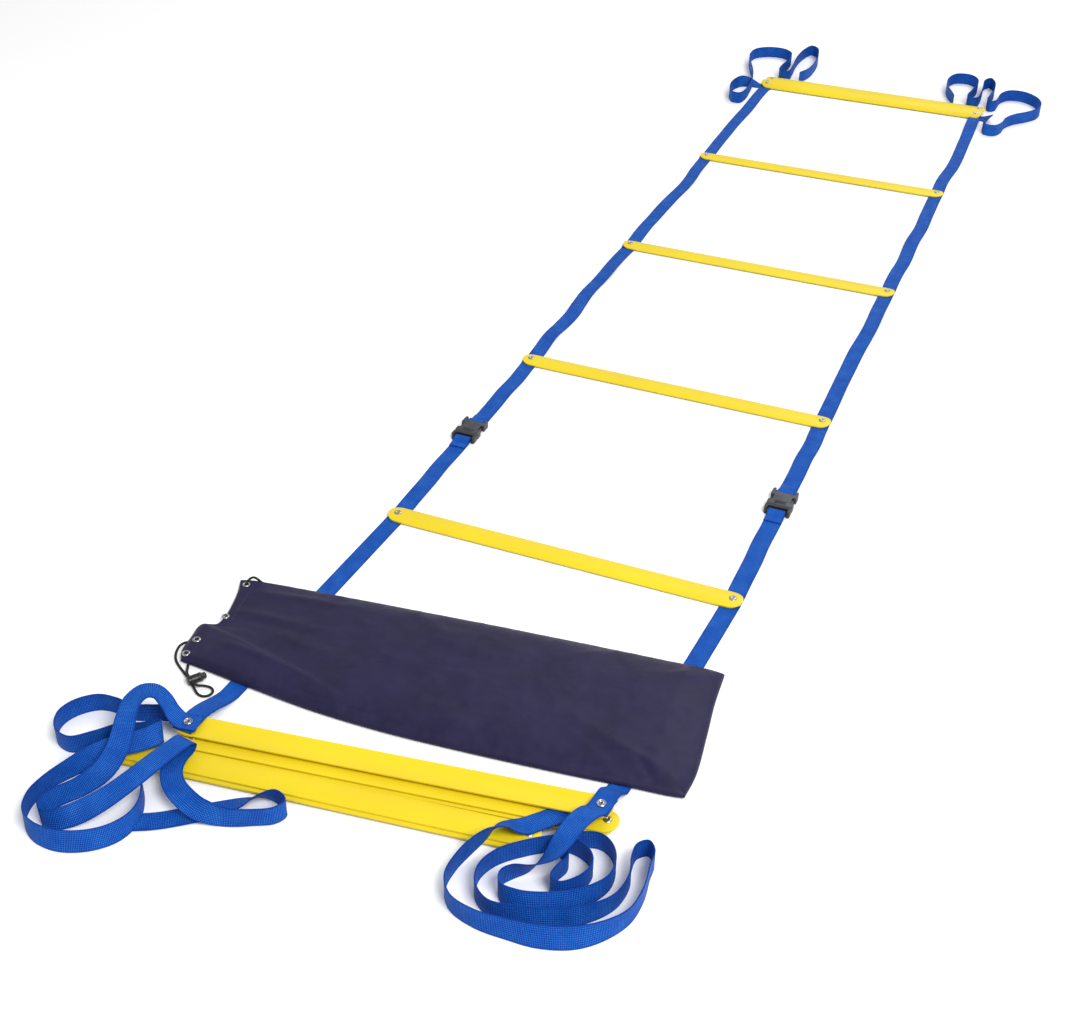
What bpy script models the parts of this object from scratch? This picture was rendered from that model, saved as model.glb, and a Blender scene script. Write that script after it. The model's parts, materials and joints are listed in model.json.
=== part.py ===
"""Agility ladder: flat rungs riveted to webbing straps, four laid out between two stacks.

Metres, +Z up. The ladder runs along +Y and its rungs along X. The near stack is at -Y, the far stack at
+Y, and the carry bag lies across the straps by the near stack.
"""
import math

import bmesh
import bpy
import numpy as np
from mathutils import Matrix, Vector

# Running gaps, and the angles in degrees up to which faces are shaded as one
CLEAR = 0.0003
OVERRUN = 0.002
ROUND_ANGLE = 40.0
FLAT_ANGLE = 30.0

# Rungs
RIVET_SPAN = 0.400
RUNG_END = 0.011
RUNG_WIDTH = 0.027
RUNG_WALL = 0.002
RUNG_RISE = 0.0022
RUNG_FACETS = 7
RUNG_PITCH = 0.397
RIVET_HOLE = 0.0026
HOLE_SIDES = 12
RUNG_LENGTH = RIVET_SPAN + 2 * RUNG_END
RUNG_HEIGHT = RUNG_WALL + RUNG_RISE

# Webbing
WEB_WIDTH = 0.021
WEB_THICKNESS = 0.0014
WEB_HALF = WEB_WIDTH / 2
WEB_MID = WEB_THICKNESS / 2
RUNG_LIFT = WEB_THICKNESS + CLEAR
TAIL_LENGTH = 0.016
TAIL_LEAD = 0.0065

# Rivets
RIVET_SHANK = 0.0022
RIVET_HEAD = 0.0042
RIVET_WASHER = 0.0045
HEAD_THICKNESS = 0.0010
WASHER_THICKNESS = 0.0009
DIMPLE_RADIUS = 0.0018
DIMPLE_DEPTH = 0.0004
RIVET_SIDES = 10
TONGUE_LIFT = WASHER_THICKNESS + CLEAR
TONGUE_FLAT = 0.0055
TONGUE_FALL = 0.0110
TONGUE_RADIUS = WEB_HALF
TONGUE_ROUND_SHARES = (-0.94, -0.78, -0.52, -0.26)

# Side-release buckles
BUCKLE_WIDTH = 0.031
BUCKLE_HEIGHT = 0.0086
BUCKLE_CORNER = 0.0015
SOCKET_LENGTH = 0.034
CAVITY_HALF = 0.0115
CAVITY_LENGTH = 0.0255
CAVITY_FLOOR = 0.0018
CAVITY_ROOF = 0.0068
NOTCH_START = 0.0095
NOTCH_END = 0.0205
NOTCH_INNER = 0.0108
PLUG_BASE = 0.0042
BAR_WIDTH = 0.0032
BAR_THICKNESS = 0.0024
SLOT_WIDTH = 0.0038
SLOT_HALF = 0.0118
TONGUE_HALF = 0.003
TONGUE_REACH = 0.022
TONGUE_FLOOR = 0.0027
TONGUE_ROOF = 0.0059
ARM_PIVOT_X = 0.008
ARM_PIVOT_Y = 0.0012
ARM_LENGTH = 0.0215
ARM_REACH = 0.014
ARM_FLOOR = 0.0023
ARM_ROOF = 0.0063
BUCKLE_HALF = BUCKLE_WIDTH / 2
BAR_HEIGHT = BUCKLE_HEIGHT / 2
PLUG_BACK = CLEAR + PLUG_BASE
PLUG_BAR = PLUG_BACK + SLOT_WIDTH + BAR_WIDTH / 2
SOCKET_BAR = SOCKET_LENGTH - BAR_WIDTH / 2
MOUTH_OFFSET = (SOCKET_BAR - PLUG_BAR) / 2
LINK_LENGTH = RUNG_PITCH / 2 - (SOCKET_BAR + PLUG_BAR) / 2

# Latch arm outline, as shares of its reach across and its length along
ARM_OUTLINE_SHARES = (
    (0.47, 0.01), (0.67, 0.01), (0.70, 0.43), (0.91, 0.52), (1.00, 0.63), (0.96, 0.79),
    (0.757, 0.94), (0.743, 1.00), (0.643, 1.00), (0.643, 0.70), (0.50, 0.33),
)

# Near stack: side shift, run, base height and yaw of each rung under the top one
NEAR_STACK_X = -0.0178
NEAR_STACK_Y = -0.3772
NEAR_STACK_YAW = 7.9
STACK_FLOOR = 2 * WEB_THICKNESS + CLEAR
STACK_STEP = 0.0032
SECOND_SHIFT = 0.008
SECOND_RUN = -0.009
THIRD_SHIFT = 0.004
THIRD_RUN = -0.0117
FRONT_SHIFT = -0.055
FRONT_RUN = -0.040
FRONT_YAW = -1.0
LOWEST_SHIFT = -0.062
LOWEST_RUN = -0.043
TOP_RISE = 0.0014
STACK_LEVEL = STACK_FLOOR + STACK_STEP
TOP_LEVEL = STACK_LEVEL + RUNG_HEIGHT + TOP_RISE
NEAR_RAMP_LEFT = 0.050
NEAR_RAMP_RIGHT = 0.040

# Far stack: the top rung leans on the two beneath it
FAR_TILT = 20.0
FAR_UPPER_SHIFT = 0.003
FAR_UPPER_RUN = 0.024
FAR_LOWER_SHIFT = -0.004
FAR_LOWER_RUN = 0.016
FAR_SEAT = 0.0004
FAR_TAIL = 0.0095
FAR_LEVEL = RUNG_LIFT + RUNG_HEIGHT + FAR_SEAT
FAR_RUN = 4 * RUNG_PITCH
LAST_FOLD = 3.5 * RUNG_PITCH

# Carry bag lying over the straps
BAG_X = -0.027
BAG_Y = -0.231
BAG_LENGTH = 0.535
BAG_WIDTH = 0.190
BAG_YAW = 4.5
BAG_LIFT = RUNG_LIFT
BAG_HEM = 0.0032
BAG_CROWN = 0.018
BAG_HEM_INSET = 0.014
BAG_SLOPE_INSET = 0.034
BAG_TOP_INSET = 0.062
BAG_SHOULDER_SHARE = 0.78
EYELET_RADIUS = 0.0043
EYELET_BORE = 0.0022
EYELET_THICKNESS = 0.0014
EYELET_SIDES = 14
EYELET_BORE_SIDES = 10

# Bag outline, as shares of its length and width from its centre
BAG_OUTLINE_SHARES = (
    (-0.492, -0.345), (-0.45, -0.362), (-0.333, -0.42), (-0.20, -0.475), (-0.06, -0.505), (0.10, -0.505),
    (0.273, -0.492), (0.475, -0.468), (0.492, -0.44), (0.496, 0.0), (0.488, 0.46), (0.470, 0.484),
    (0.20, 0.475), (-0.15, 0.445), (-0.485, 0.405), (-0.50, 0.385), (-0.486, 0.10), (-0.476, -0.05),
    (-0.49, -0.12), (-0.505, -0.27),
)
EYELET_SHARES = ((-0.48, 0.349), (-0.472, 0.055), (-0.486, -0.193), (-0.486, -0.31))

# Draw cord and its lock
CORD_RADIUS = 0.0013
CORD_STEPS = 2
LOCK_RADIUS = 0.0046
LOCK_LENGTH = 0.015
LOCK_BORE = 0.0037
LOCK_BORE_DEPTH = 0.010
BUTTON_RADIUS = 0.0034
BUTTON_LENGTH = 0.0105
BUTTON_PROUD = 0.0045
BUTTON_TOP_SHARE = 0.7
LOCK_INSET = 0.0355
LOCK_OUTSET = 0.017
LOCK_X = BAG_X - BAG_LENGTH / 2 + LOCK_INSET
LOCK_Y = BAG_Y - BAG_WIDTH / 2 - LOCK_OUTSET
LOCK_YAW = 55.0
LOCK_SIDES = 16

# Places on the ladder
ORIGIN_X = 0.0165
ORIGIN_Y = 0.615
ROUTE_UNIT = 0.01
LINE_STEP = 0.016
LINE_TURN = 22.0
LINE_STEPS = 12
LEAST_MITRE = 0.7
SAMPLES_ACROSS = 9
SAMPLE_SKIP = 3
MILLIMETRES = 1000.0

# Strap bundle routes in route units: x, y, height, then azimuth and lift in degrees of the width
# direction. The anchor is the route's own x and y over the rivet that holds the strap.
NEAR_LEFT_ANCHOR = (-21.6, -159.6)
NEAR_LEFT_ROUTE = (
    (-20.5, -159.4, 1.88, 98, 0), (-21.6, -159.6, 1.88, 98, 0), (-22.3, -159.7, 1.92, 98, 0),
    (-23.2, -159.5, 2.4, 98, 0), (-24.1, -159.2, 3.4, 104, 0), (-25.1, -159.1, 4.1, 119, 0),
    (-26.0, -159.8, 4.4, 137, 0), (-26.4, -161.1, 4.2, 155, 0), (-26.1, -162.6, 3.8, 168, 0),
    (-25.5, -164.1, 3.4, 178, 8),
    (-25.0, -165.8, 2.8, 170, 25), (-25.2, -167.8, 1.8, 160, 50), (-26.2, -169.8, 1.2, 150, 70),
    (-27.4, -171.8, 1.15, 150, 78), (-28.0, -173.4, 1.1, 150, 80), (-27.3, -174.4, 1.1, 150, 80),
    (-26.0, -174.2, 1.1, 150, 70), (-24.5, -172.9, 1.3, 145, 45), (-22.9, -170.9, 1.9, 145, 22),
    (-21.6, -168.5, 2.6, 155, 12), (-20.7, -166.0, 3.0, 165, 5), (-20.2, -163.7, 2.95, 170, 0),
    (-20.0, -162.5, 2.75, 170, 0), (-19.95, -162.0, 2.25, 170, 0), (-20.0, -162.5, 1.75, 170, 0),
    (-20.1, -163.7, 1.65, 170, 0), (-19.6, -165.4, 1.75, 190, 0), (-18.4, -166.9, 1.8, 215, -8),
    (-16.8, -167.9, 1.8, 235, -20), (-14.8, -168.4, 1.45, 255, -45), (-12.4, -168.1, 1.15, 265, -80),
    (-10.2, -167.2, 1.12, 270, -90), (-8.4, -166.1, 1.12, 90, -90), (-8.0, -164.9, 1.12, 90, -90),
    (-9.3, -164.2, 1.2, 90, -85), (-10.8, -164.5, 1.0, 92, -50), (-12.2, -165.4, 0.56, 96, -18),
    (-14.0, -166.8, 0.22, 105, -2), (-16.0, -168.4, 0.16, 115, 0), (-18.2, -169.9, 0.14, 120, 0),
)
NEAR_LEFT_OUTER_ROUTE = (
    (-23.2, -158.7, 1.1, 90, 90), (-24.6, -158.6, 1.1, 90, 90), (-26.2, -159.2, 1.1, 90, 90),
    (-27.8, -159.8, 1.1, 90, 90), (-29.6, -159.6, 1.1, 90, 90), (-31.6, -159.9, 1.1, 90, 90),
    (-33.2, -161.5, 1.1, 90, 90), (-33.6, -163.4, 1.1, 90, 90), (-32.5, -165.3, 1.1, 90, 90),
    (-30.6, -165.8, 1.1, 90, 90), (-28.9, -164.3, 1.1, 90, 90), (-27.2, -162.4, 1.1, 90, 90),
    (-25.4, -161.6, 1.15, 90, 90), (-24.0, -161.1, 1.5, 100, 85), (-23.2, -161.5, 1.85, 120, 65),
    (-23.3, -162.4, 2.08, 140, 38), (-24.2, -163.6, 2.05, 150, 34), (-25.7, -165.0, 2.02, 150, 36),
    (-27.2, -166.6, 1.65, 150, 54), (-28.6, -168.6, 1.25, 150, 80), (-29.5, -170.8, 1.1, 90, 90),
    (-29.6, -173.0, 1.1, 90, 90), (-28.7, -175.0, 1.1, 90, 88), (-26.8, -176.1, 1.1, 100, 78),
    (-24.2, -176.1, 1.05, 105, 68), (-21.8, -175.0, 1.05, 110, 68), (-20.3, -173.4, 1.05, 150, 75),
    (-19.7, -171.6, 1.1, 170, 85), (-20.0, -169.8, 1.1, 170, 90), (-20.9, -168.2, 1.1, 170, 90),
    (-22.0, -166.9, 1.1, 170, 90),
)
NEAR_RIGHT_ANCHOR = (18.0, -154.1)
NEAR_RIGHT_ROUTE = (
    (18.2, -153.0, 1.88, -10, 0), (18.0, -154.1, 1.88, -10, 0), (17.85, -154.9, 1.9, -10, 0),
    (17.5, -156.1, 2.5, -14, 0), (17.0, -157.9, 2.75, -12, 0), (16.7, -159.9, 2.6, -10, 8),
    (16.2, -161.7, 2.1, -20, 30),
    (15.0, -163.1, 1.6, -40, 60), (13.6, -163.9, 1.25, -60, 85), (12.9, -164.9, 1.15, 90, 90),
    (13.4, -166.2, 1.15, 90, 88), (15.0, -166.7, 1.2, 90, 65), (17.0, -166.2, 1.2, 90, 62),
    (19.0, -165.1, 1.2, 90, 65), (20.7, -163.5, 1.2, 90, 75), (21.6, -161.6, 1.15, 90, 88),
    (21.4, -159.6, 1.1, 90, 90), (20.5, -158.2, 1.1, 90, 90), (19.2, -157.6, 1.1, 90, 90),
    (17.4, -158.2, 1.1, 90, 90), (15.4, -159.5, 1.1, 90, 90), (13.4, -161.0, 1.1, 90, 90),
    (11.6, -162.9, 1.1, 90, 90), (10.9, -165.0, 1.1, 90, 90), (11.5, -167.0, 1.1, 90, 90),
    (13.2, -168.2, 1.1, 90, 90), (15.6, -168.0, 1.1, 90, 80), (18.4, -167.2, 1.1, 90, 75),
    (20.9, -165.7, 1.1, 90, 80), (22.7, -163.5, 1.1, 90, 90), (23.1, -160.9, 1.1, 90, 90),
    (22.6, -158.9, 1.1, 90, 90), (22.6, -157.4, 1.1, 90, 90), (23.4, -156.7, 1.1, 90, 90),
    (24.2, -157.5, 1.1, 90, 90), (24.4, -159.3, 1.1, 90, 90), (24.7, -161.8, 1.1, 90, 90),
    (24.4, -164.4, 1.1, 90, 88), (23.1, -166.5, 1.1, 90, 75), (21.0, -168.2, 1.0, 90, 62),
    (18.4, -169.2, 1.0, 90, 62), (15.6, -169.6, 1.05, 90, 75), (12.6, -169.7, 1.1, 90, 85),
    (10.0, -168.9, 1.1, 90, 90), (8.7, -167.1, 1.1, 90, 90), (8.6, -164.9, 1.1, 90, 90),
    (9.2, -162.8, 1.4, -30, 88), (10.1, -161.3, 1.95, -35, 72), (10.9, -160.2, 2.05, -40, 38),
    (11.8, -159.3, 1.5, -45, 10), (12.6, -158.6, 1.19, -48, 0), (13.2, -157.9, 1.18, -48, 0),
)
FAR_LEFT_ANCHOR = (-20.0, 39.7)
FAR_LEFT_ROUTE = (
    (-18.8, 39.5, 1.12, 90, 20), (-20.0, 39.5, 1.12, 90, 20), (-20.7, 39.5, 1.13, 90, 20),
    (-21.4, 39.6, 1.6, 90, 15), (-22.3, 39.6, 2.6, 90, 5), (-23.5, 39.2, 2.9, 95, 10),
    (-24.8, 37.9, 2.2, 130, 45),
    (-25.5, 36.0, 1.4, 150, 75), (-25.6, 33.6, 1.1, 90, 90), (-25.0, 30.6, 1.1, 90, 90),
    (-23.8, 28.6, 1.1, 90, 90), (-22.5, 28.6, 1.1, 90, 90), (-22.0, 30.8, 1.1, 90, 90),
    (-22.2, 34.2, 1.1, 90, 90), (-22.7, 38.0, 1.1, 90, 90), (-23.8, 42.2, 1.1, 90, 90),
    (-25.6, 47.0, 1.1, 90, 90), (-27.0, 51.6, 1.1, 90, 90), (-26.6, 55.2, 1.1, 90, 90),
    (-24.4, 57.1, 1.1, 90, 90), (-21.6, 57.3, 1.1, 90, 90), (-19.6, 55.6, 1.1, 90, 90),
    (-19.0, 51.6, 1.1, 90, 90), (-19.3, 47.4, 1.1, 90, 90), (-19.1, 44.8, 1.1, 90, 90),
    (-18.1, 43.9, 1.1, 90, 90), (-17.2, 44.8, 1.1, 90, 90), (-17.3, 48.0, 1.1, 90, 90),
    (-17.8, 53.0, 1.1, 90, 90), (-17.7, 58.4, 1.1, 90, 90), (-16.8, 61.6, 1.1, 90, 90),
    (-15.5, 60.8, 1.1, 90, 90), (-14.3, 56.8, 1.1, 90, 90), (-13.8, 52.0, 1.1, 90, 90),
    (-14.0, 47.6, 1.1, 90, 90), (-15.0, 44.6, 1.1, 90, 90),
)
FAR_RIGHT_ANCHOR = (20.0, 39.7)
FAR_RIGHT_ROUTE = (
    (18.8, 39.5, 1.12, 90, 20), (20.0, 39.5, 1.12, 90, 20), (20.7, 39.5, 1.13, 90, 20),
    (21.5, 39.3, 1.45, 80, 15),
    (22.4, 38.6, 1.9, 45, 15), (22.6, 37.0, 1.8, 10, 40), (22.4, 35.0, 1.25, 0, 80),
    (22.3, 32.9, 1.1, 90, 90), (23.0, 31.3, 1.1, 90, 90), (24.6, 31.4, 1.1, 90, 90),
    (25.5, 33.4, 1.1, 90, 90), (25.8, 36.0, 1.1, 90, 90), (27.0, 38.6, 1.1, 90, 90),
    (28.9, 40.8, 1.1, 90, 90), (30.5, 43.4, 1.1, 90, 90), (30.8, 46.4, 1.1, 90, 90),
    (29.6, 49.6, 1.1, 90, 90), (27.0, 51.7, 1.1, 90, 90), (24.4, 51.4, 1.1, 90, 90),
    (23.1, 49.0, 1.1, 90, 90), (22.9, 46.4, 1.1, 90, 90), (22.7, 44.6, 1.1, 90, 90),
    (21.9, 43.8, 1.1, 90, 90), (21.2, 44.8, 1.1, 90, 90), (21.3, 47.6, 1.1, 90, 90),
    (21.5, 51.4, 1.1, 90, 90), (20.9, 55.4, 1.1, 90, 90), (19.9, 57.0, 1.1, 90, 90),
    (19.1, 55.6, 1.1, 90, 90), (19.3, 51.4, 1.1, 90, 90), (19.5, 47.6, 1.1, 90, 90),
    (19.2, 44.9, 1.1, 90, 90), (18.2, 44.0, 1.1, 90, 90), (17.4, 45.2, 1.1, 90, 90),
    (17.7, 49.0, 1.1, 90, 90), (18.1, 52.6, 1.1, 90, 90), (17.5, 55.8, 1.1, 90, 90),
    (15.8, 57.4, 1.1, 90, 90), (13.5, 56.9, 1.1, 90, 90), (12.4, 53.8, 1.1, 90, 90),
    (12.9, 49.4, 1.1, 90, 90), (14.3, 46.0, 1.1, 90, 90), (15.0, 44.2, 1.1, 90, 90),
)
# Draw cord route in route units, from the lock up to one eyelet, along the hem and back
CORD_ANCHOR = (-25.9, -153.4)
CORD_ROUTE = (
    (-25.75, -153.54, 0.49), (-26.0, -153.95, 0.46), (-26.8, -154.5, 0.35), (-27.9, -154.2, 0.25),
    (-28.9, -153.2, 0.2), (-29.6, -152.0, 0.22), (-30.0, -150.6, 0.5), (-29.7, -149.4, 0.85),
    (-29.0, -148.5, 0.98), (-28.35, -148.0, 0.95), (-27.9, -148.6, 0.88), (-27.95, -149.6, 0.88),
    (-28.2, -150.4, 0.92), (-28.6, -151.2, 0.75), (-28.55, -151.9, 0.4), (-28.0, -152.6, 0.22),
    (-27.2, -153.4, 0.3), (-26.6, -153.8, 0.42), (-26.35, -153.68, 0.47), (-26.08, -153.31, 0.49),
)

YELLOW = (0.82, 0.62, 0.02)
BLUE = (0.02, 0.09, 0.42)
NAVY = (0.018, 0.018, 0.06)
SLATE = (0.05, 0.055, 0.075)
BLACK = (0.01, 0.01, 0.01)
STEEL = (0.62, 0.62, 0.60)
SIDES = (("left", -1), ("right", 1))


def material(name, colour, roughness, metallic=0.0):
    """Return a plain Principled material."""
    made = bpy.data.materials.new(name)
    made.use_nodes = True
    shader = made.node_tree.nodes["Principled BSDF"]
    shader.inputs["Base Color"].default_value = (*colour, 1.0)
    shader.inputs["Roughness"].default_value = roughness
    shader.inputs["Metallic"].default_value = metallic
    return made


def empty(name, location, parent=None, yaw=0.0, tilt=0.0):
    """Return a frame that pieces hang from."""
    frame = bpy.data.objects.new(name, None)
    bpy.context.scene.collection.objects.link(frame)
    frame.location = location
    frame.rotation_euler = (math.radians(tilt), 0.0, math.radians(yaw))
    frame.parent = parent
    return frame


def node(name, mesh, parent, finish, location=(0.0, 0.0, 0.0), yaw=0.0, roll=0.0):
    """Place a mesh as one named piece."""
    piece = bpy.data.objects.new(name, mesh)
    bpy.context.scene.collection.objects.link(piece)
    piece.parent = parent
    piece.location = location
    piece.rotation_euler = (math.radians(roll), 0.0, math.radians(yaw))
    if not mesh.materials:
        mesh.materials.append(finish)
    return piece


def finish_mesh(name, bm, smooth_angle=None):
    """Close a bmesh off as a mesh with its faces pointing out."""
    bmesh.ops.recalc_face_normals(bm, faces=bm.faces)
    mesh = bpy.data.meshes.new(name)
    bm.to_mesh(mesh)
    bm.free()
    if smooth_angle:
        mesh.shade_smooth()
        mesh.set_sharp_from_angle(angle=math.radians(smooth_angle))
    return mesh


def combine(base, tools, operation="DIFFERENCE"):
    """Cut, or join, a mesh with each tool mesh in turn and return the result."""
    body = bpy.data.objects.new("combine_body", base)
    bpy.context.scene.collection.objects.link(body)
    helpers = []
    for index, tool in enumerate(tools):
        helper = bpy.data.objects.new(f"combine_tool_{index}", tool)
        bpy.context.scene.collection.objects.link(helper)
        helpers.append(helper)
        modifier = body.modifiers.new(f"tool_{index}", "BOOLEAN")
        modifier.operation = operation
        modifier.solver = "EXACT"
        modifier.object = helper
    graph = bpy.context.evaluated_depsgraph_get()
    result = bpy.data.meshes.new_from_object(body.evaluated_get(graph))
    result.name = base.name
    for used in (body, *helpers):
        bpy.data.objects.remove(used)
    return result


def prism(name, outline, low, high):
    """Return an outline in X and Y raised between two heights."""
    bm = bmesh.new()
    floor = [bm.verts.new((x, y, low)) for x, y in outline]
    base = bm.faces.new(floor)
    raised = bmesh.ops.extrude_face_region(bm, geom=[base])
    top = [item for item in raised["geom"] if isinstance(item, bmesh.types.BMVert)]
    bmesh.ops.translate(bm, verts=top, vec=(0.0, 0.0, high - low))
    return finish_mesh(name, bm)


def slab(name, x_range, y_range, z_range, corner=0.0):
    """Return a box, with its upright corners cut off when a corner size is given."""
    (x0, x1), (y0, y1) = x_range, y_range
    if not corner:
        return prism(name, ((x0, y0), (x1, y0), (x1, y1), (x0, y1)), *z_range)
    outline = (
        (x0 + corner, y0), (x1 - corner, y0), (x1, y0 + corner), (x1, y1 - corner),
        (x1 - corner, y1), (x0 + corner, y1), (x0, y1 - corner), (x0, y0 + corner),
    )
    return prism(name, outline, *z_range)


def turned(name, profile, sides):
    """Return a profile of radius and height turned about Z, from its top centre to its bottom centre."""
    bm = bmesh.new()
    top = bm.verts.new((0.0, 0.0, profile[0][1]))
    bottom = bm.verts.new((0.0, 0.0, profile[-1][1]))
    angles = [math.tau * step / sides for step in range(sides)]
    rings = [
        [bm.verts.new((radius * math.cos(angle), radius * math.sin(angle), height)) for angle in angles]
        for radius, height in profile[1:-1]
    ]
    for side in range(sides):
        following = (side + 1) % sides
        bm.faces.new((top, rings[0][side], rings[0][following]))
        bm.faces.new((bottom, rings[-1][following], rings[-1][side]))
        for upper, lower in zip(rings, rings[1:]):
            bm.faces.new((upper[side], lower[side], lower[following], upper[following]))
    return finish_mesh(name, bm, ROUND_ANGLE)


def rod(name, radius, low, high, sides):
    """Return a plain cylinder along Z."""
    return turned(name, ((0.0, high), (radius, high), (radius, low), (0.0, low)), sides)


def ribbon(name, stations):
    """Return a webbing strip through stations of centre, width direction and half width."""
    centres = [Vector(station[0]) for station in stations]
    runs = [(after - before).normalized() for before, after in zip(centres, centres[1:])]
    bm = bmesh.new()
    sections = []
    for index, (centre, across, half) in enumerate(stations):
        before = runs[max(index - 1, 0)]
        after = runs[min(index, len(runs) - 1)]
        along = (before + after).normalized()
        across = Vector(across)
        across = (across - across.dot(along) * along).normalized()
        mitre = 1.0 / max(along.dot(before), LEAST_MITRE)
        normal = across.cross(along) * (WEB_MID * mitre)
        side = across * half
        middle = Vector(centre)
        edges = (middle - side, middle + side)
        below = [edge - normal for edge in edges]
        above = [edge + normal for edge in edges[::-1]]
        sections.append([bm.verts.new(corner) for corner in below + above])
    for first, second in zip(sections, sections[1:]):
        bm.faces.new((first[0], first[1], second[1]))
        bm.faces.new((first[0], second[1], second[0]))
        bm.faces.new((first[3], second[2], first[2]))
        bm.faces.new((first[3], second[3], second[2]))
        bm.faces.new((first[1], first[2], second[2], second[1]))
        bm.faces.new((first[3], first[0], second[0], second[3]))
    bm.faces.new(sections[0][::-1])
    bm.faces.new(sections[-1])
    return finish_mesh(name, bm, FLAT_ANGLE)


def smooth_curve(points, steps):
    """Return a curve through rows of numbers, spaced by the square root of each chord."""
    rows = np.array(points, float)
    chords = np.sqrt(np.linalg.norm(np.diff(rows[:, :3], axis=0), axis=1))
    knots = np.concatenate(([0.0], np.cumsum(chords)))
    first = 2 * rows[0] - rows[1]
    last = 2 * rows[-1] - rows[-2]
    padded = np.vstack((first, rows, last))
    times = np.concatenate(([2 * knots[0] - knots[1]], knots, [2 * knots[-1] - knots[-2]]))
    result = []
    for index in range(len(rows) - 1):
        t0, t1, t2, t3 = times[index:index + 4]
        p0, p1, p2, p3 = padded[index:index + 4]
        slope_in = (p1 - p0) / (t1 - t0) - (p2 - p0) / (t2 - t0) + (p2 - p1) / (t2 - t1)
        slope_out = (p2 - p1) / (t2 - t1) - (p3 - p1) / (t3 - t1) + (p3 - p2) / (t3 - t2)
        span = t2 - t1
        for step in range(steps):
            u = step / steps
            blend = (
                (2 * u ** 3 - 3 * u ** 2 + 1) * p1 + (u ** 3 - 2 * u ** 2 + u) * span * slope_in
                + (3 * u ** 2 - 2 * u ** 3) * p2 + (u ** 3 - u ** 2) * span * slope_out
            )
            result.append(blend)
    result.append(rows[-1])
    return np.array(result)


def width_vector(azimuth, lift):
    """Return the unit direction across a strap from its azimuth and lift in degrees."""
    turn, rise = math.radians(azimuth), math.radians(lift)
    return (math.cos(rise) * math.cos(turn), math.cos(rise) * math.sin(turn), math.sin(rise))


def bundle_stations(route, anchor, rivet):
    """Return the stations of a gathered strap, closer together where it bends more."""
    rows = [
        (
            rivet.x + (x - anchor[0]) * ROUTE_UNIT, rivet.y + (y - anchor[1]) * ROUTE_UNIT,
            height * ROUTE_UNIT, *width_vector(azimuth, lift),
        )
        for x, y, height, azimuth, lift in route
    ]
    fine = smooth_curve(rows, LINE_STEPS)
    centres = fine[:, :3]
    runs = np.diff(centres, axis=0)
    lengths = np.linalg.norm(runs, axis=1)
    heads = runs / lengths[:, None]
    across = fine[:, 3:] / np.linalg.norm(fine[:, 3:], axis=1)[:, None]
    kept = [0]
    for index in range(1, len(centres) - 1):
        travelled = lengths[kept[-1]:index].sum()
        turned_by = math.degrees(math.acos(min(1.0, float(heads[kept[-1]] @ heads[index]))))
        twisted_by = math.degrees(math.acos(min(1.0, float(across[kept[-1]] @ across[index]))))
        if travelled > LINE_STEP or turned_by > LINE_TURN or twisted_by > LINE_TURN:
            kept.append(index)
    kept.append(len(centres) - 1)
    return [(tuple(centres[index]), tuple(across[index]), WEB_HALF) for index in kept]


def least_gap(name, stations):
    """Print the least clearance between stretches of one gathered strap."""
    samples = []
    travelled = []
    length = 0.0
    for (first, across_first, half), (second, across_second, _half) in zip(stations, stations[1:]):
        pieces = max(2, math.ceil((Vector(second) - Vector(first)).length / WEB_THICKNESS))
        for piece in range(pieces):
            share = piece / pieces
            middle = Vector(first).lerp(Vector(second), share)
            across = Vector(across_first).lerp(Vector(across_second), share)
            for place in np.linspace(-1.0, 1.0, SAMPLES_ACROSS):
                samples.append(middle + across * half * place)
                travelled.append(length + (Vector(second) - Vector(first)).length * share)
        length += (Vector(second) - Vector(first)).length
    cloud = np.array(samples)
    along = np.array(travelled)
    least = math.inf
    for index, sample in enumerate(cloud[::SAMPLE_SKIP]):
        apart = np.abs(along - along[index * SAMPLE_SKIP]) > WEB_WIDTH
        if apart.any():
            least = min(least, float(np.linalg.norm(cloud[apart] - sample, axis=1).min()))
    gap = (least - WEB_THICKNESS) * MILLIMETRES
    print(f"{name}: length {length * MILLIMETRES:.0f} mm, least gap {gap:.2f} mm")


def rung_mesh():
    """Return a shallow arched rung with round ends and two rivet holes."""
    half_length = RUNG_LENGTH / 2
    half_width = RUNG_WIDTH / 2
    rows = []
    for step in range(RUNG_FACETS + 1):
        angle = math.pi * step / RUNG_FACETS
        y = -half_width * math.cos(angle)
        end = half_length - half_width + half_width * math.sin(angle)
        rows.append((y, end, RUNG_RISE * (1.0 - (y / half_width) ** 2)))
    bm = bmesh.new()
    grid = [
        [bm.verts.new((side * end, y, rise + level)) for level in (0.0, RUNG_WALL) for side in (-1, 1)]
        for y, end, rise in rows
    ]
    for first, second in zip(grid, grid[1:]):
        bm.faces.new((first[0], first[1], second[1], second[0]))
        bm.faces.new((first[2], second[2], second[3], first[3]))
        bm.faces.new((first[0], second[0], second[2], first[2]))
        bm.faces.new((first[1], first[3], second[3], second[1]))
    for edge_row in (grid[0], grid[-1]):
        bm.faces.new((edge_row[0], edge_row[2], edge_row[3], edge_row[1]))
    blank = finish_mesh("rung", bm)
    holes = []
    for side in (-1, 1):
        hole = rod("rung_hole", RIVET_HOLE, -OVERRUN, RUNG_HEIGHT + OVERRUN, HOLE_SIDES)
        hole.transform(Matrix.Translation((side * RIVET_SPAN / 2, 0.0, 0.0)))
        holes.append(hole)
    result = combine(blank, holes)
    result.shade_smooth()
    result.set_sharp_from_angle(angle=math.radians(FLAT_ANGLE))
    return result


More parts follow.
